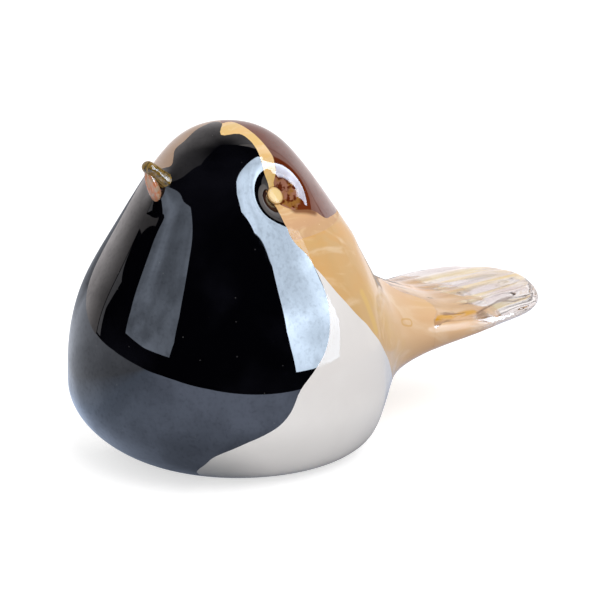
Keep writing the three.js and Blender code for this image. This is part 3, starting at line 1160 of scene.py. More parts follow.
@dataclass
class Beak:
    """The pinched beak: a golden upper lobe and a peach leaf under it."""

    below_crown: float = 11.5 * MM
    reach: float = 6 * MM
    rise: float = 5.4 * MM
    width: float = 4.6 * MM
    thickness: float = 3.8 * MM
    root: float = 3.5 * MM
    root_size: float = 1.35
    chin_drop: float = 3.8 * MM
    chin_width: float = 3.6 * MM
    chin_thickness: float = 3.2 * MM
    chin_tilt: float = 10
    chin_root: tuple[float, float] = (-0.1, 0.5)
    flare: tuple[tuple[float, float], ...] = (
        (0.0, 1.2), (0.3, 1.0), (0.6, 0.95), (0.9, 0.85), (1.0, 0.55),
    )
    leaf: tuple[tuple[float, float], ...] = (
        (0.05, 0.9), (0.3, 1.0), (0.6, 0.8), (0.85, 0.45),
    )

    def lobe(
        self,
        name: str,
        start: Vector,
        path: Vector,
        tilt: float,
        half: tuple[float, float],
        sizes: tuple[tuple[float, float], ...],
        root: tuple[float, float],
    ) -> bpy.types.Object:
        """Pulls a small lobe of glass out along a path.

        Args:
            name: The piece's name.
            start: Where the path starts.
            path: From start to end.
            tilt: Degrees that its sections lean.
            half: Half the width and half the thickness of a section of size 1.
            sizes: Share of the path and size of each section.
            root: Share and size of the first section, inside the face.

        Returns:
            The lobe.
        """
        place = start + path * root[0]
        deselect()
        bpy.ops.mesh.primitive_circle_add(
            vertices=24,
            radius=root[1],
            fill_type="NGON",
            location=place,
            rotation=(math.radians(tilt), 0, 0),
        )
        lobe = fresh(name)
        lobe.scale = (half[0], half[1], 1)
        open_up()
        last_share, last_size = root
        for share, size in sizes:
            extrude_by(path * (share - last_share))
            ratio = size / last_size
            bpy.ops.transform.resize(
                value=(ratio, ratio, ratio),
                center_override=tuple(start + path * share),
            )
            last_share, last_size = share, size
        close_up()
        apply_modifier(lobe, "SUBSURF", levels=2, render_levels=2)
        pick(lobe)
        bpy.ops.object.shade_smooth()
        return lobe

    def build(self, form: BirdForm) -> dict[str, bpy.types.Object]:
        """Makes both lobes on the face of the form.

        Args:
            form: The form that carries the beak.

        Returns:
            The lobes by name.
        """
        height = BODY_HEIGHT - self.below_crown
        face = form.skin(height, 0)
        along = Vector((0, -self.reach, self.rise))
        tilt = math.degrees(math.atan2(self.rise, self.reach))
        upper = self.lobe(
            "beak_upper_glass",
            face,
            along,
            90 - tilt,
            (self.width / 2, self.thickness / 2),
            self.flare,
            (-self.root / self.reach, self.root_size),
        )
        chin = form.skin(height - self.chin_drop, 0)
        lower = self.lobe(
            "beak_lower_glass",
            chin,
            face + along - chin,
            self.chin_tilt,
            (self.chin_width / 2, self.chin_thickness / 2),
            self.leaf,
            self.chin_root,
        )
        return {"beak_upper": upper, "beak_lower": lower}


class Painter:
    """Builds the nodes of one material, world or shared effect, one call for each node."""

    def __init__(self, tree: bpy.types.NodeTree) -> None:
        """Starts with an empty tree."""
        self.tree = tree
        tree.nodes.clear()

    def node(
        self,
        kind: str,
        inputs: dict[str | int, object] | None = None,
        **settings: object,
    ) -> bpy.types.Node:
        """Adds a node, sets it and joins its inputs.

        Args:
            kind: The node's type.
            inputs: Values, or sockets to join, by input name or number.
            settings: The node's own settings.

        Returns:
            The node.
        """
        added = self.tree.nodes.new(kind)
        for key, value in settings.items():
            setattr(added, key, value)
        for key, value in (inputs or {}).items():
            if isinstance(value, bpy.types.NodeSocket):
                self.tree.links.new(value, added.inputs[key])
            else:
                added.inputs[key].default_value = value
        return added

    def place(self) -> bpy.types.NodeSocket:
        """The place in the object's own metres."""
        return self.node("ShaderNodeTexCoord").outputs["Object"]

    def axis(self, index: int) -> bpy.types.NodeSocket:
        """X, Y or Z of the place in the object's own metres."""
        return self.node("ShaderNodeSeparateXYZ", {0: self.place()}).outputs[index]

    def bump(self, scale: float, detail: float, height: float) -> bpy.types.NodeSocket:
        """The normals of a gently uneven surface.

        Args:
            scale: How fine the swells are.
            detail: How much finer noise they carry.
            height: How high they are.

        Returns:
            The normals.
        """
        swell = self.node("ShaderNodeTexNoise", {"Vector": self.place(), "Scale": scale, "Detail": detail})
        inputs = {"Strength": 1.0, "Distance": height, "Height": swell.outputs[0]}
        return self.node("ShaderNodeBump", inputs).outputs[0]

    def maths(self, operation: str, first: object, second: object) -> bpy.types.NodeSocket:
        """One sum of two values."""
        return self.node("ShaderNodeMath", {0: first, 1: second}, operation=operation).outputs[0]

    def between(
        self,
        value: bpy.types.NodeSocket,
        low: float,
        high: float,
        start: float = 0.0,
        end: float = 1.0,
    ) -> bpy.types.NodeSocket:
        """Eases from start to end while the value goes from low to high.

        Args:
            value: The value.
            low: Where the change starts.
            high: Where it ends.
            start: The outcome up to there.
            end: The outcome from there on.

        Returns:
            The eased value.
        """
        return self.node(
            "ShaderNodeMapRange",
            {0: value, 1: low, 2: high, 3: start, 4: end},
            interpolation_type="SMOOTHSTEP",
        ).outputs[0]

    def mix(self, first: object, second: object, share: object) -> bpy.types.NodeSocket:
        """Mixes two colours, each a colour or a socket.

        Args:
            first: The first colour.
            second: The second colour.
            share: How much of the second is in the mixture.

        Returns:
            The mixed colour.
        """
        pair = [(*part, 1) if isinstance(part, tuple) else part for part in (first, second)]
        return self.node(
            "ShaderNodeMix",
            {0: share, 6: pair[0], 7: pair[1]},
            data_type="RGBA",
        ).outputs[2]

    def graded(
        self,
        value: bpy.types.NodeSocket,
        steps: "tuple[tuple[float, Colour], ...] | list[tuple[float, Colour]]",
    ) -> bpy.types.NodeSocket:
        """A colour that changes with a value.

        Args:
            value: What it changes with.
            steps: Values and their colours, in order.

        Returns:
            The colour.
        """
        first, last = steps[0][0], steps[-1][0]
        share = self.node("ShaderNodeMapRange", {0: value, 1: first, 2: last}).outputs[0]
        ramp = self.node("ShaderNodeValToRGB", {0: share})
        stops = ramp.color_ramp.elements
        stops[0].color = (*steps[0][1], 1)
        stops[-1].color = (*steps[-1][1], 1)
        for place, colour in steps[1:-1]:
            stops.new((place - first) / (last - first)).color = (*colour, 1)
        return ramp.outputs[0]

    def vectors(self, operation: str, first: object, second: object) -> bpy.types.NodeSocket:
        """One sum of two vectors, which gives a vector."""
        return self.node("ShaderNodeVectorMath", {0: first, 1: second}, operation=operation).outputs[0]

    def distance(self, first: object, second: object) -> bpy.types.NodeSocket:
        """How far two places are from each other."""
        away = self.node("ShaderNodeVectorMath", {0: first, 1: second}, operation="DISTANCE")
        return away.outputs["Value"]

    def near(self, point: Place, inner: float, outer: float) -> bpy.types.NodeSocket:
        """A mask that is 1 near a point and fades out between two distances."""
        return self.between(self.distance(self.place(), point), inner, outer, 1.0, 0.0)

    def near_both(self, point: Place, inner: float, outer: float) -> bpy.types.NodeSocket:
        """A mask that is 1 near a point and near the same point on the bird's other side."""
        x, y, z = point
        return self.maths("MAXIMUM", self.near(point, inner, outer), self.near((-x, y, z), inner, outer))

    def near_line(self, start: Place, end: Place, inner: float, outer: float) -> bpy.types.NodeSocket:
        """A mask that is 1 near a straight line and fades out between two distances from it.

        Args:
            start: One end of the line.
            end: Its other end.
            inner: The distance up to which the mask is 1.
            outer: The distance from which it is 0.

        Returns:
            The mask.
        """
        course = Vector(end) - Vector(start)
        past_start = self.vectors("SUBTRACT", self.place(), start)
        shadow = self.node(
            "ShaderNodeVectorMath",
            {0: past_start, 1: course / course.length_squared},
            operation="DOT_PRODUCT",
        ).outputs["Value"]
        share = self.node("ShaderNodeMath", {0: shadow, 1: 1.0}, operation="MULTIPLY", use_clamp=True)
        foot = self.node("ShaderNodeVectorMath", {0: course, "Scale": share.outputs[0]}, operation="SCALE")
        return self.between(self.distance(past_start, foot.outputs[0]), inner, outer, 1.0, 0.0)

    def effect(self, effect: "Effect", **values: object) -> bpy.types.NodeSocket:
        """Places a shared effect and gives its mask.

        Args:
            effect: Which effect.
            values: What its inputs are set to.

        Returns:
            The mask.
        """
        group = self.node("ShaderNodeGroup", node_tree=effect.tree())
        self.tree.links.new(self.place(), group.inputs["Place"])
        for name, value in values.items():
            group.inputs[name].default_value = value
        return group.outputs["Mask"]


def blank(title: str) -> tuple[bpy.types.Material, Painter]:
    """A new empty material and the painter of its nodes."""
    material = bpy.data.materials.new(title)
    material.use_nodes = True
    return material, Painter(material.node_tree)


def tone(red: int, green: int, blue: int) -> Colour:
    """A colour as a screen shows it, from 0 to 255, made linear."""
    parts = []
    for value in (red / 255, green / 255, blue / 255):
        parts.append(value / 12.92 if value <= 0.04045 else ((value + 0.055) / 1.055) ** 2.4)
    return (parts[0], parts[1], parts[2])


def grey_steps(steps: tuple[tuple[float, float], ...], unit: float = 1.0) -> list[tuple[float, Colour]]:
    """Steps of a brightness as steps of a grey, with their places in metres or radians."""
    return [(place * unit, (value, value, value)) for place, value in steps]


class Effect(Enum):
    """A mask that more than one kind of glass uses, as a shader node group."""

    CLOUDS = "glass_clouds"
    STREAKS = "glass_streaks"
    SPECKS = "glass_specks"

    def tree(self) -> bpy.types.NodeTree:
        """The effect's node group, built when it is first asked for.

        Returns:
            The group.
        """
        ready = bpy.data.node_groups.get(self.value)
        if ready is None:
            ready = bpy.data.node_groups.new(self.value, "ShaderNodeTree")
            ready.interface.new_socket("Place", in_out="INPUT", socket_type="NodeSocketVector")
            for name in ("Scale", "Low", "High"):
                ready.interface.new_socket(name, in_out="INPUT", socket_type="NodeSocketFloat")
            ready.interface.new_socket("Stretch", in_out="INPUT", socket_type="NodeSocketVector")
            ready.interface.new_socket("Mask", in_out="OUTPUT", socket_type="NodeSocketFloat")
            self.fill(Painter(ready))
        return ready

    def fill(self, paint: Painter) -> None:
        """Builds the inside of the group.

        Args:
            paint: Builds the nodes of the group.
        """
        given = paint.node("NodeGroupInput").outputs
        place = paint.node(
            "ShaderNodeVectorMath",
            {0: given["Place"], 1: given["Stretch"]},
            operation="MULTIPLY",
        ).outputs[0]
        if self is Effect.SPECKS:
            cells = paint.node("ShaderNodeTexVoronoi", {"Vector": place, "Scale": given["Scale"]})
            chance = paint.node("ShaderNodeSeparateColor", {0: cells.outputs["Color"]}).outputs[0]
            rare = paint.node("ShaderNodeMath", {0: chance, 1: given["High"]}, operation="LESS_THAN")
            close = paint.node(
                "ShaderNodeMath",
                {0: cells.outputs["Distance"], 1: given["Low"]},
                operation="LESS_THAN",
            )
            mask = paint.maths("MULTIPLY", rare.outputs[0], close.outputs[0])
        else:
            bend = 1.2 if self is Effect.STREAKS else 0.3
            noise = paint.node(
                "ShaderNodeTexNoise",
                {"Vector": place, "Scale": given["Scale"], "Detail": 5.0, "Distortion": bend},
            )
            mask = paint.node(
                "ShaderNodeMapRange",
                {0: noise.outputs[0], 1: given["Low"], 2: given["High"]},
                interpolation_type="SMOOTHSTEP",
            ).outputs[0]
        paint.node("NodeGroupOutput", {0: mask})


EVEN = (1.0, 1.0, 1.0)
ALONG_FLOW = (1.6, 0.35, 0.9)


@dataclass(frozen=True)
class Finish:
    """A kind of glass: coloured layers under a clear, slightly uneven skin."""

    name: str
    slot: str
    skin_ior: float = 1.5
    skin_low: float = 0.86
    roughness: float = 0.35
    film_roughness: float = 0.08
    skin_roughness: float = 0.015
    waviness: float = 0.012
    dustiness: float = 0.12

    def colour(self, paint: Painter) -> bpy.types.NodeSocket:
        """The colour of the layers, which each kind of glass gives itself."""
        raise NotImplementedError

    def skin(self, paint: Painter, film: bpy.types.NodeSocket) -> bpy.types.NodeSocket:
        """How strongly the clear skin shines, less under a film and under fine dust.

        Args:
            paint: Builds the nodes of the material.
            film: Where a film lies on the glass.

        Returns:
            The weight of the coat.
        """
        dust = paint.effect(Effect.CLOUDS, Scale=1100.0, Low=0.45, High=0.75, Stretch=EVEN)
        return paint.maths(
            "SUBTRACT",
            paint.between(film, 0.0, 1.0, self.skin_low, 1.0),
            paint.maths("MULTIPLY", dust, self.dustiness),
        )

    def shader(self, paint: Painter) -> bpy.types.Node:
        """The layered glass as one shader.

        Args:
            paint: Builds the nodes of the material.

        Returns:
            The shader.
        """
        film = paint.effect(Effect.CLOUDS, Scale=90.0, Low=0.35, High=0.65, Stretch=EVEN)
        filmed = self.roughness + self.film_roughness
        bump = paint.bump(scale=55.0, detail=1.0, height=self.waviness * MM)
        return paint.node(
            "ShaderNodeBsdfPrincipled",
            {
                "Base Color": self.colour(paint),
                "Roughness": paint.between(film, 0.0, 1.0, self.roughness, filmed),
                "Specular IOR Level": 0.0,
                "Coat Weight": self.skin(paint, film),
                "Coat Roughness": self.skin_roughness,
                "Coat IOR": self.skin_ior,
                "Normal": bump,
            },
        )

    def dress(self, piece: bpy.types.Object) -> None:
        """Puts the finish on a piece, made once for all the pieces that share it.

        Args:
            piece: The piece.
        """
        title = f"layered_{self.name}"
        material = bpy.data.materials.get(title)
        if material is None:
            material, paint = blank(title)
            shader = self.shader(paint)
            paint.node("ShaderNodeOutputMaterial", {"Surface": shader.outputs[0]})
        piece.data.materials.clear()
        piece.data.materials.append(material)


@dataclass(frozen=True)
class BlackGlass(Finish):
    """Nearly black glass with a breath of smoke and dust on it."""

    deep: Colour = tone(2, 2, 4)
    smoke: Colour = tone(11, 11, 16)
    dust: Colour = tone(52, 52, 52)

    def colour(self, paint: Painter) -> bpy.types.NodeSocket:
        """Smoke and a few dust specks over the black."""
        clouds = paint.effect(Effect.CLOUDS, Scale=45.0, Low=0.45, High=0.75, Stretch=EVEN)
        specks = paint.effect(Effect.SPECKS, Scale=900.0, Low=0.16, High=0.035, Stretch=EVEN)
        return paint.mix(paint.mix(self.deep, self.smoke, clouds), self.dust, specks)


@dataclass(frozen=True)
class OpalGlass(Finish):
    """White opal glass, greyer at the front of the foot, where the white thins out over the black and shade
    near the floor is painted in.
    """

    white: Colour = tone(222, 218, 216)
    milk: Colour = tone(229, 226, 224)
    # Grey at the front of the foot: painted shade near the floor, and the thin white over the black.
    thin: Colour = tone(172, 171, 170)
    shade_and_thin_place: Place = (21 * MM, -31 * MM, 0.0)
    thin_reach: tuple[float, float] = (5 * MM, 20 * MM)

    def colour(self, paint: Painter) -> bpy.types.NodeSocket:
        """Milky clouds, and the grey place at the front of the foot: thin white over the black, with painted
        shade near the floor.

        Args:
            paint: Builds the nodes of the material.

        Returns:
            The colour.
        """
        clouds = paint.effect(Effect.CLOUDS, Scale=35.0, Low=0.35, High=0.7, Stretch=EVEN)
        # The grey place at the front of the foot is partly painted shade near the floor.
        return paint.mix(
            paint.mix(self.white, self.milk, clouds),
            self.thin,
            paint.near(self.shade_and_thin_place, *self.thin_reach),
        )


@dataclass(frozen=True)
class BrownGlass(Finish):
    """Red-brown glass under a lilac veil that is partly painted sheen, mottled with amber beside the eyes.
    """

    brown: Colour = tone(112, 50, 22)
    dark: Colour = tone(88, 36, 16)
    # The lilac veil is partly the glass's own colour and partly painted sheen of soft light.
    veil_and_sheen: Colour = tone(140, 92, 84)
    amber: Colour = tone(142, 98, 46)
    rose: Colour = tone(150, 104, 86)
    eye: Place = (18.5 * MM, -3.2 * MM, 70 * MM)
    eye_reach: tuple[float, float] = (4.6 * MM, 5.6 * MM)
    dull_reach: tuple[float, float] = (4.2 * MM, 5.0 * MM)

    def colour(self, paint: Painter) -> bpy.types.NodeSocket:
        """Brown and the lilac veil, partly painted sheen, in soft clouds, and the mottled glass round each
        eye.

        Args:
            paint: Builds the nodes of the material.

        Returns:
            The colour.
        """
        clouds = paint.effect(Effect.CLOUDS, Scale=60.0, Low=0.3, High=0.75, Stretch=EVEN)
        # These streaks carry painted sheen as well as the glass's own lilac.
        haze_and_sheen = paint.effect(Effect.STREAKS, Scale=70.0, Low=0.5, High=0.8, Stretch=ALONG_FLOW)
        ground = paint.mix(self.dark, self.brown, clouds)
        plain = paint.mix(ground, self.veil_and_sheen, paint.maths("MULTIPLY", haze_and_sheen, 0.5))
        spots = paint.effect(Effect.CLOUDS, Scale=420.0, Low=0.42, High=0.58, Stretch=EVEN)
        blots = paint.effect(Effect.CLOUDS, Scale=700.0, Low=0.5, High=0.6, Stretch=EVEN)
        mottled = paint.mix(paint.mix(self.amber, self.rose, spots), self.dark, blots)
        return paint.mix(plain, mottled, paint.near_both(self.eye, *self.eye_reach))

    def skin(self, paint: Painter, film: bpy.types.NodeSocket) -> bpy.types.NodeSocket:
        """The skin's shine, broken up by the mottled glass beside the eyes."""
        calm = paint.maths("SUBTRACT", 1.0, paint.near_both(self.eye, *self.dull_reach))
        return paint.maths("MULTIPLY", super().skin(paint, film), calm)


@dataclass(frozen=True)
class AmberGlass(Finish):
    """Pale amber glass, drawn out in soft streaks towards the tail."""

    honey: Colour = tone(202, 166, 118)
    peach: Colour = tone(216, 184, 146)
    root: Colour = tone(214, 176, 138)
    straw: Colour = tone(212, 176, 108)
    pale: Colour = tone(230, 206, 176)
    orange: Colour = tone(212, 160, 96)
    orange_from: float = 38 * MM
    orange_to: float = 62 * MM
    orange_shares: tuple[float, float] = (0.1, 0.7)
    trapped: Colour = tone(204, 160, 96)
    fold: tuple[Place, Place] = ((32.0 * MM, 11.0 * MM, 45 * MM), (34.5 * MM, 13.3 * MM, 35.4 * MM))
    ring: tuple[Place, Place] = ((19.0 * MM, 35.2 * MM, 28.8 * MM), (19.0 * MM, 38.4 * MM, 28.2 * MM))
    ring_size: tuple[float, float] = (0.5 * MM, 0.9 * MM)
    ring_fade: float = 0.4 * MM
    fold_reach: tuple[float, float] = (0.5 * MM, 1.6 * MM)
    fold_share: float = 0.8
    streak_share: float = 0.4
    tone_places: tuple[float, ...] = (-5 * MM, 12 * MM, 24 * MM, 46 * MM)

    def colour(self, paint: Painter) -> bpy.types.NodeSocket:
        """Honey at the back, peach at the root, with straw streaks, a fold and a trapped ring.

        Args:
            paint: Builds the nodes of the material.

        Returns:
            The colour.
        """
        along = paint.axis(1)
        tones = (self.honey, self.honey, self.peach, self.root)
        ground = paint.graded(along, tuple(zip(self.tone_places, tones)))
        broad = paint.effect(Effect.STREAKS, Scale=45.0, Low=0.42, High=0.7, Stretch=ALONG_FLOW)
        warm = paint.effect(Effect.STREAKS, Scale=62.0, Low=0.38, High=0.62, Stretch=ALONG_FLOW)
        fine = paint.effect(Effect.STREAKS, Scale=130.0, Low=0.5, High=0.7, Stretch=ALONG_FLOW)
        height = paint.axis(2)
        upper = paint.between(height, self.orange_from, self.orange_to, *self.orange_shares)
        streaked = paint.mix(ground, self.orange, paint.maths("MULTIPLY", warm, upper))
        streaked = paint.mix(streaked, self.straw, paint.maths("MULTIPLY", broad, self.streak_share))
        streaked = paint.mix(streaked, self.pale, paint.maths("MULTIPLY", fine, self.streak_share))
        fold = paint.near_line(*self.fold, *self.fold_reach)
        streaked = paint.mix(streaked, self.straw, paint.maths("MULTIPLY", fold, self.fold_share))
        inner, outer = self.ring_size
        band = paint.maths(
            "SUBTRACT",
            paint.near_line(*self.ring, outer, outer + self.ring_fade),
            paint.near_line(*self.ring, inner, inner + self.ring_fade),
        )
        return paint.mix(streaked, self.trapped, paint.maths("MULTIPLY", band, self.fold_share))


@dataclass(frozen=True)
class PeachGlass(Finish):
    """The peach stripes, with straw streaks and tiny bubbles, smoky beside the parting."""

    foot: Colour = tone(200, 160, 128)
    ankle: Colour = tone(204, 162, 124)
    peach: Colour = tone(222, 182, 120)
    pale: Colour = tone(226, 198, 158)
    straw: Colour = tone(206, 178, 92)
    bubble: Colour = tone(240, 222, 184)
    smoke: Colour = tone(150, 122, 98)
    folded: Colour = tone(110, 64, 40)
    fold: tuple[Place, Place] = ((20.9 * MM, -1.0 * MM, 66.3 * MM), (22.1 * MM, 3.6 * MM, 65.4 * MM))
    smoky: bool = False
    shine_from: float = 66 * MM
    shine_to: float = 69 * MM
    foot_shine: float = 0.15
    straw_shares: tuple[float, float] = (0.1, 0.45)
    pale_share: float = 0.6
    bubble_share: float = 0.5
    fold_share: float = 0.85
    fold_reach: tuple[float, float] = (0.7 * MM, 2.0 * MM)
    smoke_between: tuple[float, float] = (-14 * MM, -9.5 * MM)
    tone_heights: tuple[float, ...] = (58 * MM, 64 * MM, 70 * MM, 84 * MM)

    def skin(self, paint: Painter, film: bpy.types.NodeSocket) -> bpy.types.NodeSocket:
        """The skin's shine, dull on the narrow foot of the stripe."""
        height = paint.axis(2)
        shine = paint.between(height, self.shine_from, self.shine_to, self.foot_shine, 1.0)
        return paint.maths("MULTIPLY", super().skin(paint, film), shine)

    def colour(self, paint: Painter) -> bpy.types.NodeSocket:
        """Streaks and bubbles in the peach, and a brown fold behind the left eye.

        Args:
            paint: Builds the nodes of the material.

        Returns:
            The colour.
        """
        height = paint.axis(2)
        tones = (self.foot, self.ankle, self.peach, self.peach)
        ground = paint.graded(height, tuple(zip(self.tone_heights, tones)))
        broad = paint.effect(Effect.STREAKS, Scale=110.0, Low=0.45, High=0.65, Stretch=ALONG_FLOW)
        fine = paint.effect(Effect.STREAKS, Scale=260.0, Low=0.5, High=0.7, Stretch=ALONG_FLOW)
        bubbles = paint.effect(Effect.SPECKS, Scale=1300.0, Low=0.22, High=0.12, Stretch=EVEN)
        strawed = paint.between(height, self.shine_from, self.shine_to, *self.straw_shares)
        streaked = paint.mix(ground, self.straw, paint.maths("MULTIPLY", broad, strawed))
        streaked = paint.mix(streaked, self.pale, paint.maths("MULTIPLY", fine, self.pale_share))
        streaked = paint.mix(streaked, self.bubble, paint.maths("MULTIPLY", bubbles, self.bubble_share))
        fold = paint.near_line(*self.fold, *self.fold_reach)
        streaked = paint.mix(streaked, self.folded, paint.maths("MULTIPLY", fold, self.fold_share))
        if self.smoky:
            smoky = paint.between(paint.axis(0), *self.smoke_between)
            streaked = paint.mix(streaked, self.smoke, smoky)
        return streaked


@dataclass(frozen=True)
class BeadGlass(Finish):
    """The eye's bead: clear peach in the middle, darker and speckled at its rim."""

    middle: Colour = tone(232, 204, 146)
    rim: Colour = tone(186, 140, 84)
    speck: Colour = tone(120, 70, 36)
    eye: Place = (16.8 * MM, -4.2 * MM, 69.4 * MM)
    reach: tuple[float, float] = (1.4 * MM, 2.6 * MM)

    def colour(self, paint: Painter) -> bpy.types.NodeSocket:
        """From the middle out to the speckled rim, for both eyes."""
        inside = paint.near_both(self.eye, *self.reach)
        specks = paint.effect(Effect.SPECKS, Scale=2200.0, Low=0.35, High=0.25, Stretch=EVEN)
        edge = paint.mix(self.rim, self.speck, specks)
        return paint.mix(edge, self.middle, inside)


@dataclass(frozen=True)
class RingGlass(Finish):
    """The thin dark ring in front of the eye, full of amber specks."""

    dark: Colour = tone(42, 30, 26)
    speck: Colour = tone(178, 136, 96)

    def colour(self, paint: Painter) -> bpy.types.NodeSocket:
        """Specks in the dark."""
        specks = paint.effect(Effect.SPECKS, Scale=1900.0, Low=0.4, High=0.35, Stretch=EVEN)
        return paint.mix(self.dark, self.speck, specks)


@dataclass(frozen=True)
class ClearGlass(Finish):
    """Clear glass that light falls through, with faint streaks of colour."""

    clear: Colour = tone(222, 217, 216)
    mauve: Colour = tone(184, 168, 168)
    olive: Colour = tone(202, 174, 112)
    # The dark tint is painted reflection of dark surroundings, in lines along the ridge and in fine streaks.
    dark: Colour = tone(120, 104, 96)
    gold: Colour = tone(238, 186, 84)
    gold_thread: tuple[Place, Place] = ((0.0, 43 * MM, 33 * MM), (1 * MM, 58 * MM, 28 * MM))
    ridge: tuple[Place, ...] = (
        (18.4 * MM, 62.3 * MM, 25.5 * MM),
        (16.3 * MM, 72.0 * MM, 26.3 * MM),
        (17.8 * MM, 76.0 * MM, 25.6 * MM),
        (16.8 * MM, 83.0 * MM, 25.3 * MM),
    )
    olive_begins: tuple[float, float] = (-13 * MM, -4 * MM)
    olive_ends: tuple[float, float] = (5 * MM, 12 * MM)
    gold_reach: tuple[float, float] = (2 * MM, 6 * MM)
    ridge_reach: tuple[float, float] = (0.15 * MM, 0.5 * MM)
    lets_light_by: float = 0.9

    def colour(self, paint: Painter) -> bpy.types.NodeSocket:
        """Mauve streaks along the paddle, olive in its middle, and dark lines along the ridge and in fine
        streaks that are painted reflections.

        Args:
            paint: Builds the nodes of the material.

        Returns:
            The colour.
        """
        stretch = (1.5, 0.28, 1.0)
        broad = paint.effect(Effect.STREAKS, Scale=70.0, Low=0.4, High=0.62, Stretch=stretch)
        fine = paint.effect(Effect.STREAKS, Scale=170.0, Low=0.6, High=0.68, Stretch=stretch)
        gold = paint.effect(Effect.STREAKS, Scale=95.0, Low=0.42, High=0.58, Stretch=stretch)
        across = paint.axis(0)
        middle = paint.maths(
            "MULTIPLY",
            paint.between(across, *self.olive_begins),
            paint.between(across, *self.olive_ends, 1.0, 0.0),
        )
        tinted = paint.mix(self.clear, self.mauve, broad)
        tinted = paint.mix(tinted, self.olive, paint.maths("MULTIPLY", gold, middle))
        thread = paint.near_line(*self.gold_thread, *self.gold_reach)
        tinted = paint.mix(tinted, self.gold, paint.maths("MULTIPLY", thread, gold))
        # Painted reflections: dark lines along the ridge and in fine streaks.
        for start, end in zip(self.ridge, self.ridge[1:]):
            tinted = paint.mix(tinted, self.dark, paint.near_line(start, end, *self.ridge_reach))
        return paint.mix(tinted, self.dark, fine)

    def shader(self, paint: Painter) -> bpy.types.Node:
        """Glass that neither blocks the light of the floor nor darkens what lies in it.

        Args:
            paint: Builds the nodes of the material.

        Returns:
            The shader.
        """
        bump = paint.bump(scale=120.0, detail=2.0, height=0.15 * MM)
        glass = paint.node(
            "ShaderNodeBsdfPrincipled",
            {
                "Base Color": self.colour(paint),
                "Roughness": 0.0,
                "IOR": 1.46,
                "Transmission Weight": 1.0,
                "Normal": bump,
            },
        )
        rays = paint.node("ShaderNodeLightPath").outputs
        passing = paint.maths("MAXIMUM", rays["Is Shadow Ray"], rays["Is Diffuse Ray"])
        open_ = paint.node("ShaderNodeBsdfTransparent")
        return paint.node(
            "ShaderNodeMixShader",
            {
                0: paint.maths("MULTIPLY", passing, self.lets_light_by),
                1: glass.outputs[0],
                2: open_.outputs[0],
            },
        )


@dataclass(frozen=True)
class TongueGlass(AmberGlass):
    """The amber core of the tail, thinning out to nothing towards its end."""

    thick_end: float = 60 * MM
    thin_end: float = 73 * MM
    fray: float = 6 * MM
    gold_reach: tuple[float, float] = (0.7 * MM, 1.5 * MM)
    gold: Colour = tone(212, 158, 48)
    gold_thread: tuple[Place, Place] = ((17.6 * MM, 47 * MM, 26.2 * MM), (17 * MM, 63 * MM, 25.9 * MM))

    def colour(self, paint: Painter) -> bpy.types.NodeSocket:
        """The amber with a thread of gold along its shoulder."""
        broken = paint.effect(Effect.STREAKS, Scale=240.0, Low=0.38, High=0.5, Stretch=ALONG_FLOW)
        thread = paint.near_line(*self.gold_thread, *self.gold_reach)
        return paint.mix(super().colour(paint), self.gold, paint.maths("MULTIPLY", thread, broken))

    def shader(self, paint: Painter) -> bpy.types.Node:
        """The amber glass with an alpha that fades along the tail in streaks.

        Args:
            paint: Builds the nodes of the material.

        Returns:
            The shader.
        """
        glass = super().shader(paint)
        along = paint.axis(1)
        streaks = paint.effect(Effect.STREAKS, Scale=110.0, Low=0.3, High=0.7, Stretch=(1.5, 0.25, 1.0))
        ragged = paint.maths("ADD", along, paint.between(streaks, 0.0, 1.0, -self.fray, self.fray))
        left = paint.between(ragged, self.thick_end, self.thin_end, 1.0, 0.0)
        paint.tree.links.new(left, glass.inputs["Alpha"])
        return glass


@dataclass(frozen=True)
class BeakGlass(Finish):
    """Pulled glass of the beak, clear in places, with streaks of two colours along it."""

    first: Colour = tone(176, 140, 62)
    second: Colour = tone(96, 80, 42)
    pale: Colour = tone(222, 206, 180)
    clearness: float = 0.45
    pale_share: float = 0.5

    def colour(self, paint: Painter) -> bpy.types.NodeSocket:
        """Two colours and pale threads, drawn out along the beak.

        Args:
            paint: Builds the nodes of the material.

        Returns:
            The colour.
        """
        drawn = (1.8, 0.5, 0.6)
        broad = paint.effect(Effect.STREAKS, Scale=420.0, Low=0.4, High=0.62, Stretch=drawn)
        fine = paint.effect(Effect.STREAKS, Scale=900.0, Low=0.55, High=0.68, Stretch=drawn)
        mixed = paint.mix(self.first, self.second, broad)
        return paint.mix(mixed, self.pale, paint.maths("MULTIPLY", fine, self.pale_share))

    def shader(self, paint: Painter) -> bpy.types.Node:
        """Half clear glass with small facets.

        Args:
            paint: Builds the nodes of the material.

        Returns:
            The shader.
        """
        bump = paint.bump(scale=480.0, detail=2.0, height=0.25 * MM)
        return paint.node(
            "ShaderNodeBsdfPrincipled",
            {
                "Base Color": self.colour(paint),
                "Roughness": 0.12,
                "IOR": 1.42,
                "Transmission Weight": self.clearness,
                "Normal": bump,
            },
        )


@dataclass(frozen=True)
class Card:
    """A bright card that only shows in the gloss of the glass.

    Its corners are degrees round from the beak towards the bird's left and degrees up, seen from the middle
    of the bird. Turns and rises give, for degrees round and degrees up, what its light is multiplied by.
    """

    name: str
    corners: tuple[tuple[float, float], ...]
    light: Colour
    middle: tuple[float, float]
    turns: tuple[tuple[float, float], ...] = ((-180.0, 1.0), (180.0, 1.0))
    rises: tuple[tuple[float, float], ...] = ((-90.0, 1.0), (90.0, 1.0))
    mottle: float = 0.0
    distance: float = 1.2


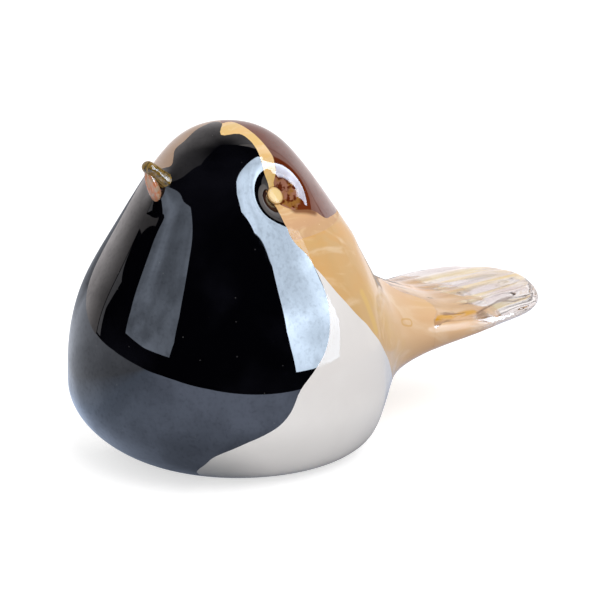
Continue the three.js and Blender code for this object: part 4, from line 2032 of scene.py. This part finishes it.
@dataclass
class Studio:
    """Floor, light and camera, at the photograph's viewing angle."""

    aim: Place = (2.4 * MM, 15.7 * MM, 34.8 * MM)
    azimuth: float = 50.0
    elevation: float = 18.0
    distance: float = 0.85
    lens: float = 201.0
    nearest: float = 0.01
    heart: Place = (0, -5 * MM, 45 * MM)
    cards: tuple[Card, ...] = (
        Card(
            "right_card",
            (
                (99.5, -3.8), (112, -4.4), (133, -4.2), (139.5, 10), (140, 25), (143, 43), (151, 46),
                (146, 52.5), (132, 56.5), (103, 58.5), (84, 56.5), (76, 54), (73.5, 50), (76.5, 46),
                (89, 42), (101, 39), (99.5, 31), (97.2, 18), (97.5, 9),
            ),
            (12.4, 14.9, 18.0),
            middle=(112, 45),
            rises=((-5, 1.1), (12, 1.25), (24, 1.5), (45, 1.05), (60, 1.0)),
            mottle=0.16,
        ),
        Card(
            "left_card",
            (
                (-27, 9), (-8, 6.5), (12.5, 5.5), (14.7, 14), (14.4, 29), (12, 41.5), (0, 43), (-25, 37),
                (-35, 30), (-29.5, 20),
            ),
            (2.15, 2.45, 3.0),
            middle=(-6, 25),
            mottle=0.3,
        ),
        Card(
            "left_line",
            ((-52, -1), (-56.5, -1), (-59.5, 20), (-52, 20.5)),
            (0.7, 0.7, 0.74),
            middle=(-55, 10),
        ),
        Card(
            "side_board",
            (
                (-57.5, -14), (-57.5, 0), (-60.5, 20), (-54.5, 22.5), (-40, 28.8), (-36, 33), (-34, 40),
                (-25, 48), (-12, 58), (-21, 72), (-102, 80), (-179, 72), (-179, 30), (-179, -20),
                (-120, -20),
            ),
            (1.08, 1.02, 1.03),
            middle=(-95, 30),
            turns=(
                (-179, 1.7), (-168, 1.6), (-154, 1.2), (-140, 0.95), (-113, 0.9), (-95, 1.3), (-80, 1.25),
                (-62, 0.6), (-45, 0.5),
            ),
            rises=((-20, 1.25), (0, 1.1), (15, 1.0), (40, 0.85), (60, 0.6), (73, 0.2), (80, 0.05)),
        ),
        Card(
            "low_back",
            ((134, -22), (162, -20), (162, -8), (163, 1), (134, 1)),
            (0.95, 0.9, 0.9),
            middle=(149, -10),
        ),
        Card(
            "back_board",
            ((162, -8), (180, -20), (180, 30), (180, 72), (172, 66), (163, 40)),
            (1.7, 1.57, 1.52),
            middle=(172, 25),
        ),
    )
    table: tuple[tuple[float, float], ...] = (
        (0.172, 0.18), (0.172, -0.20), (0.155, -0.31), (0.137, -0.42), (0.087, -0.55), (-0.006, -0.67),
        (-0.19, -0.97), (-0.57, -1.38), (-1.2, -1.7), (-1.2, 0.18),
    )
    table_glow: tuple[tuple[float, Colour], ...] = (
        (-0.09, (1.0, 1.06, 1.2)),
        (-0.04, (1.27, 1.52, 2.0)),
        (0.085, (2.05, 2.35, 3.1)),
    )
    table_shade: tuple[tuple[float, float], ...] = (
        (0.03, 0.1), (0.036, 0.2), (0.045, 0.5), (0.06, 0.86), (0.08, 1.0),
    )
    table_back: tuple[tuple[float, float], ...] = ((-0.02, 1.0), (0.05, 0.32))
    table_depth: float = 0.5 * MM
    floor_size: float = 6.0
    floor_colour: Colour = (0.62, 0.62, 0.62)
    floor_lift: float = 0.62
    plain_light: float = 0.88
    inner_light: float = 0.6
    lamp_power: float = 3.4
    lamp_size: float = 0.7
    lamp_from: tuple[float, float] = (80, 60)
    lamp_distance: float = 0.9

    def towards(self, azimuth: float, elevation: float) -> Vector:
        """The direction at these degrees round from the beak and up.

        Args:
            azimuth: Degrees round from the beak to the bird's left.
            elevation: Degrees up.

        Returns:
            The direction.
        """
        turn, rise = math.radians(azimuth), math.radians(elevation)
        return Vector(
            (
                math.sin(turn) * math.cos(rise),
                -math.cos(turn) * math.cos(rise),
                math.sin(rise),
            )
        )

    def place_camera(self) -> None:
        """Sets the camera up."""
        back = self.towards(self.azimuth, self.elevation)
        camera = bpy.data.objects.new("camera", bpy.data.cameras.new("camera"))
        bpy.context.collection.objects.link(camera)
        camera.data.lens = self.lens
        camera.data.clip_start = self.nearest
        camera.location = Vector(self.aim) + back * self.distance
        camera.rotation_euler = back.to_track_quat("Z", "Y").to_euler()
        bpy.context.scene.camera = camera
        bpy.context.scene.view_settings.view_transform = "Standard"

    def stretch_card(self, card: Card) -> None:
        """Puts one card up round the bird.

        Args:
            card: The card.
        """
        heart = Vector(self.heart)
        corners = [heart + self.towards(*corner) * card.distance for corner in card.corners]
        plane = trace(card.name, corners)
        extrude_to_point(heart + self.towards(*card.middle) * card.distance)
        bpy.ops.object.mode_set(mode="OBJECT")
        material, paint = blank(card.name)
        glow = paint.node(
            "ShaderNodeEmission",
            {"Color": (*card.light, 1), "Strength": self.shade(paint, card)},
        )
        paint.node("ShaderNodeOutputMaterial", {"Surface": glow.outputs[0]})
        plane.data.materials.append(material)
        self.show_in_gloss_alone(plane)

    def shade(self, paint: Painter, card: Card) -> bpy.types.NodeSocket:
        """How bright a card is from place to place.

        Args:
            paint: Builds the nodes of the card's material.
            card: The card.

        Returns:
            The brightness.
        """
        heart = tuple(-part for part in self.heart)
        place = paint.node("ShaderNodeVectorMath", {0: paint.place(), 1: heart}, operation="ADD").outputs[0]
        parts = paint.node("ShaderNodeSeparateXYZ", {0: place}).outputs
        level = paint.node("ShaderNodeVectorMath", {0: place, 1: (1, 1, 0)}, operation="MULTIPLY").outputs[0]
        reach = paint.node("ShaderNodeVectorMath", {0: level}, operation="LENGTH").outputs["Value"]
        turn = paint.maths("ARCTAN2", parts[0], paint.maths("MULTIPLY", parts[1], -1.0))
        rise = paint.maths("ARCTAN2", parts[2], reach)
        bright = paint.maths(
            "MULTIPLY",
            paint.graded(turn, grey_steps(card.turns, math.radians(1))),
            paint.graded(rise, grey_steps(card.rises, math.radians(1))),
        )
        cloud = paint.node("ShaderNodeTexNoise", {"Vector": place, "Scale": 3.0, "Detail": 5.0}).outputs[0]
        uneven = paint.between(cloud, 0.3, 0.7, 1 - card.mottle, 1 + card.mottle)
        return paint.maths("MULTIPLY", bright, uneven)

    def lay_floor(self) -> None:
        """Lays a plain pale floor under the bird."""
        bpy.ops.mesh.primitive_plane_add(size=self.floor_size, location=(0, 0, 0))
        floor = fresh("floor")
        material, paint = blank("floor")
        rays = paint.node("ShaderNodeLightPath").outputs
        seen = paint.maths("MAXIMUM", rays["Is Camera Ray"], rays["Is Transmission Ray"])
        matt = paint.node(
            "ShaderNodeBsdfPrincipled",
            {
                "Base Color": (*self.floor_colour, 1),
                "Roughness": 0.9,
                "Specular IOR Level": 0.0,
                "Emission Color": (1, 1, 1, 1),
                "Emission Strength": paint.maths("MULTIPLY", seen, self.floor_lift),
            },
        )
        paint.node("ShaderNodeOutputMaterial", {"Surface": matt.outputs[0]})
        floor.data.materials.append(material)
        floor.visible_glossy = False

    def lay_table(self) -> None:
        """Lays out the lit part of the table, which only the gloss of the glass shows."""
        top = trace("table", [Vector((x, y, -self.table_depth)) for x, y in self.table])
        bpy.ops.mesh.edge_face_add()
        bpy.ops.object.mode_set(mode="OBJECT")
        if top.data.polygons[0].normal.z < 0:
            top.data.flip_normals()
        material, paint = blank("table")
        place = paint.place()
        across, along = paint.node("ShaderNodeSeparateXYZ", {0: place}).outputs[:2]
        away = paint.node("ShaderNodeVectorMath", {0: place}, operation="LENGTH").outputs["Value"]
        strength = paint.maths(
            "MULTIPLY",
            paint.graded(away, grey_steps(self.table_shade)),
            paint.graded(along, grey_steps(self.table_back)),
        )
        glow = paint.node(
            "ShaderNodeEmission",
            {"Color": paint.graded(across, self.table_glow), "Strength": strength},
        )
        paint.node("ShaderNodeOutputMaterial", {"Surface": glow.outputs[0]})
        top.data.materials.append(material)
        self.show_in_gloss_alone(top)

    def show_in_gloss_alone(self, thing: bpy.types.Object) -> None:
        """Leaves a thing of the studio to the reflections.

        Args:
            thing: The thing.
        """
        thing.visible_camera = False
        thing.visible_diffuse = False
        thing.visible_transmission = False
        thing.visible_shadow = False

    def light(self) -> None:
        """Sets the plain soft light, and white all round for what the camera and the clear glass see."""
        world = bpy.data.worlds.new("studio")
        world.use_nodes = True
        bpy.context.scene.world = world
        paint = Painter(world.node_tree)
        rays = paint.node("ShaderNodeLightPath").outputs
        seen = paint.maths("MAXIMUM", rays["Is Camera Ray"], rays["Is Transmission Ray"])
        white = paint.node("ShaderNodeBackground", {"Color": (1, 1, 1, 1), "Strength": 1.0})
        soft = paint.node("ShaderNodeBackground", {"Color": (1, 1, 1, 1), "Strength": self.plain_light})
        through = paint.node("ShaderNodeMath", {0: rays["Transmission Depth"], 1: 1.0}, operation="MINIMUM")
        inside = paint.maths("MULTIPLY", through.outputs[0], self.inner_light)
        dark = paint.node(
            "ShaderNodeBackground",
            {"Color": (1, 1, 1, 1), "Strength": inside},
        )
        room = paint.node(
            "ShaderNodeMixShader",
            {0: rays["Is Glossy Ray"], 1: soft.outputs[0], 2: dark.outputs[0]},
        )
        whole = paint.node("ShaderNodeMixShader", {0: seen, 1: room.outputs[0], 2: white.outputs[0]})
        paint.node("ShaderNodeOutputWorld", {"Surface": whole.outputs[0]})
        lamp = bpy.data.lights.new("soft_lamp", "AREA")
        lamp.energy = self.lamp_power
        lamp.size = self.lamp_size
        holder = bpy.data.objects.new("soft_lamp", lamp)
        bpy.context.collection.objects.link(holder)
        back = self.towards(*self.lamp_from)
        holder.location = Vector(self.heart) + back * self.lamp_distance
        holder.rotation_euler = back.to_track_quat("Z", "Y").to_euler()
        holder.visible_glossy = False
        holder.visible_camera = False
        holder.visible_transmission = False

    def build(self) -> None:
        """Sets up everything round the bird."""
        self.place_camera()
        self.light()
        self.lay_floor()
        self.lay_table()
        for card in self.cards:
            self.stretch_card(card)


def main() -> None:
    """Builds the bird and its studio."""
    logging.basicConfig(level=logging.INFO, format="%(name)s %(message)s")
    Studio().build()
    form = BirdForm()
    master = form.build()
    tail = Tail()
    clear_space = tail.tool()
    root = duplicate(master, "root_form")
    cut(root, clear_space, "DIFFERENCE")
    paddle = duplicate(master, "tail_paddle_glass")
    lapping_space = tail.tool(tail.lap)
    cut(paddle, lapping_space, "INTERSECT")
    discard(clear_space, lapping_space)
    colouring = Colouring(form)
    pieces = colouring.share_out(root)
    discard(root)
    pieces["tail_paddle"] = paddle
    for name, piece in pieces.items():
        if name.startswith("eye_dot"):
            continue
        colouring.smooth(piece)
        if name != "tail_paddle":
            colouring.settle(piece, master)
    pieces["tail_amber_tongue"] = tail.draw_tongue(paddle)
    pieces.update(Beak().build(form))
    discard(master)
    for name, piece in pieces.items():
        FINISHES[name].dress(piece)
        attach(piece, "root")
        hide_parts(*STANDS_FOR[name])
        log.info("%s: %d faces", name, len(piece.data.polygons))


BLACK = BlackGlass("black_glass", "black_glass", skin_low=0.8, dustiness=0.15)
AMBER = AmberGlass("amber_glass", "amber_glass", skin_ior=1.15)
BEAD = BeadGlass("bead_glass", "peach_glass", skin_ior=1.16)
RING = RingGlass("ring_glass", "black_glass", skin_ior=1.35)
FINISHES = {
    "opal_body": OpalGlass("opal_glass", "opal_glass", skin_ior=1.2),
    "black_bib": BLACK,
    "brown_cap": BrownGlass("brown_glass", "brown_glass"),
    "amber_back": AMBER,
    "brow_stripe_left": PeachGlass("peach_glass", "peach_glass", skin_ior=1.42),
    "brow_stripe_right": PeachGlass("smoky_peach_glass", "peach_glass", skin_ior=1.45, smoky=True),
    "eye_dot_left": BEAD,
    "eye_dot_right": BEAD,
    "eye_ring_left": RING,
    "eye_ring_right": RING,
    "tail_paddle": ClearGlass("clear_glass", "clear_glass"),
    "tail_amber_tongue": TongueGlass("tongue_glass", "amber_glass", skin_ior=1.2),
    "beak_upper": BeakGlass("gold_glass", "gold_glass"),
    "beak_lower": BeakGlass(
        "beak_peach_glass",
        "peach_glass",
        first=tone(214, 132, 84),
        second=tone(198, 168, 140),
        clearness=0.3,
        pale_share=0.7,
    ),
}
STANDS_FOR = {name: (name,) for name in FINISHES} | {"opal_body": ("opal_bubble", "clear_casing")}


if __name__ == "__main__":
    main()
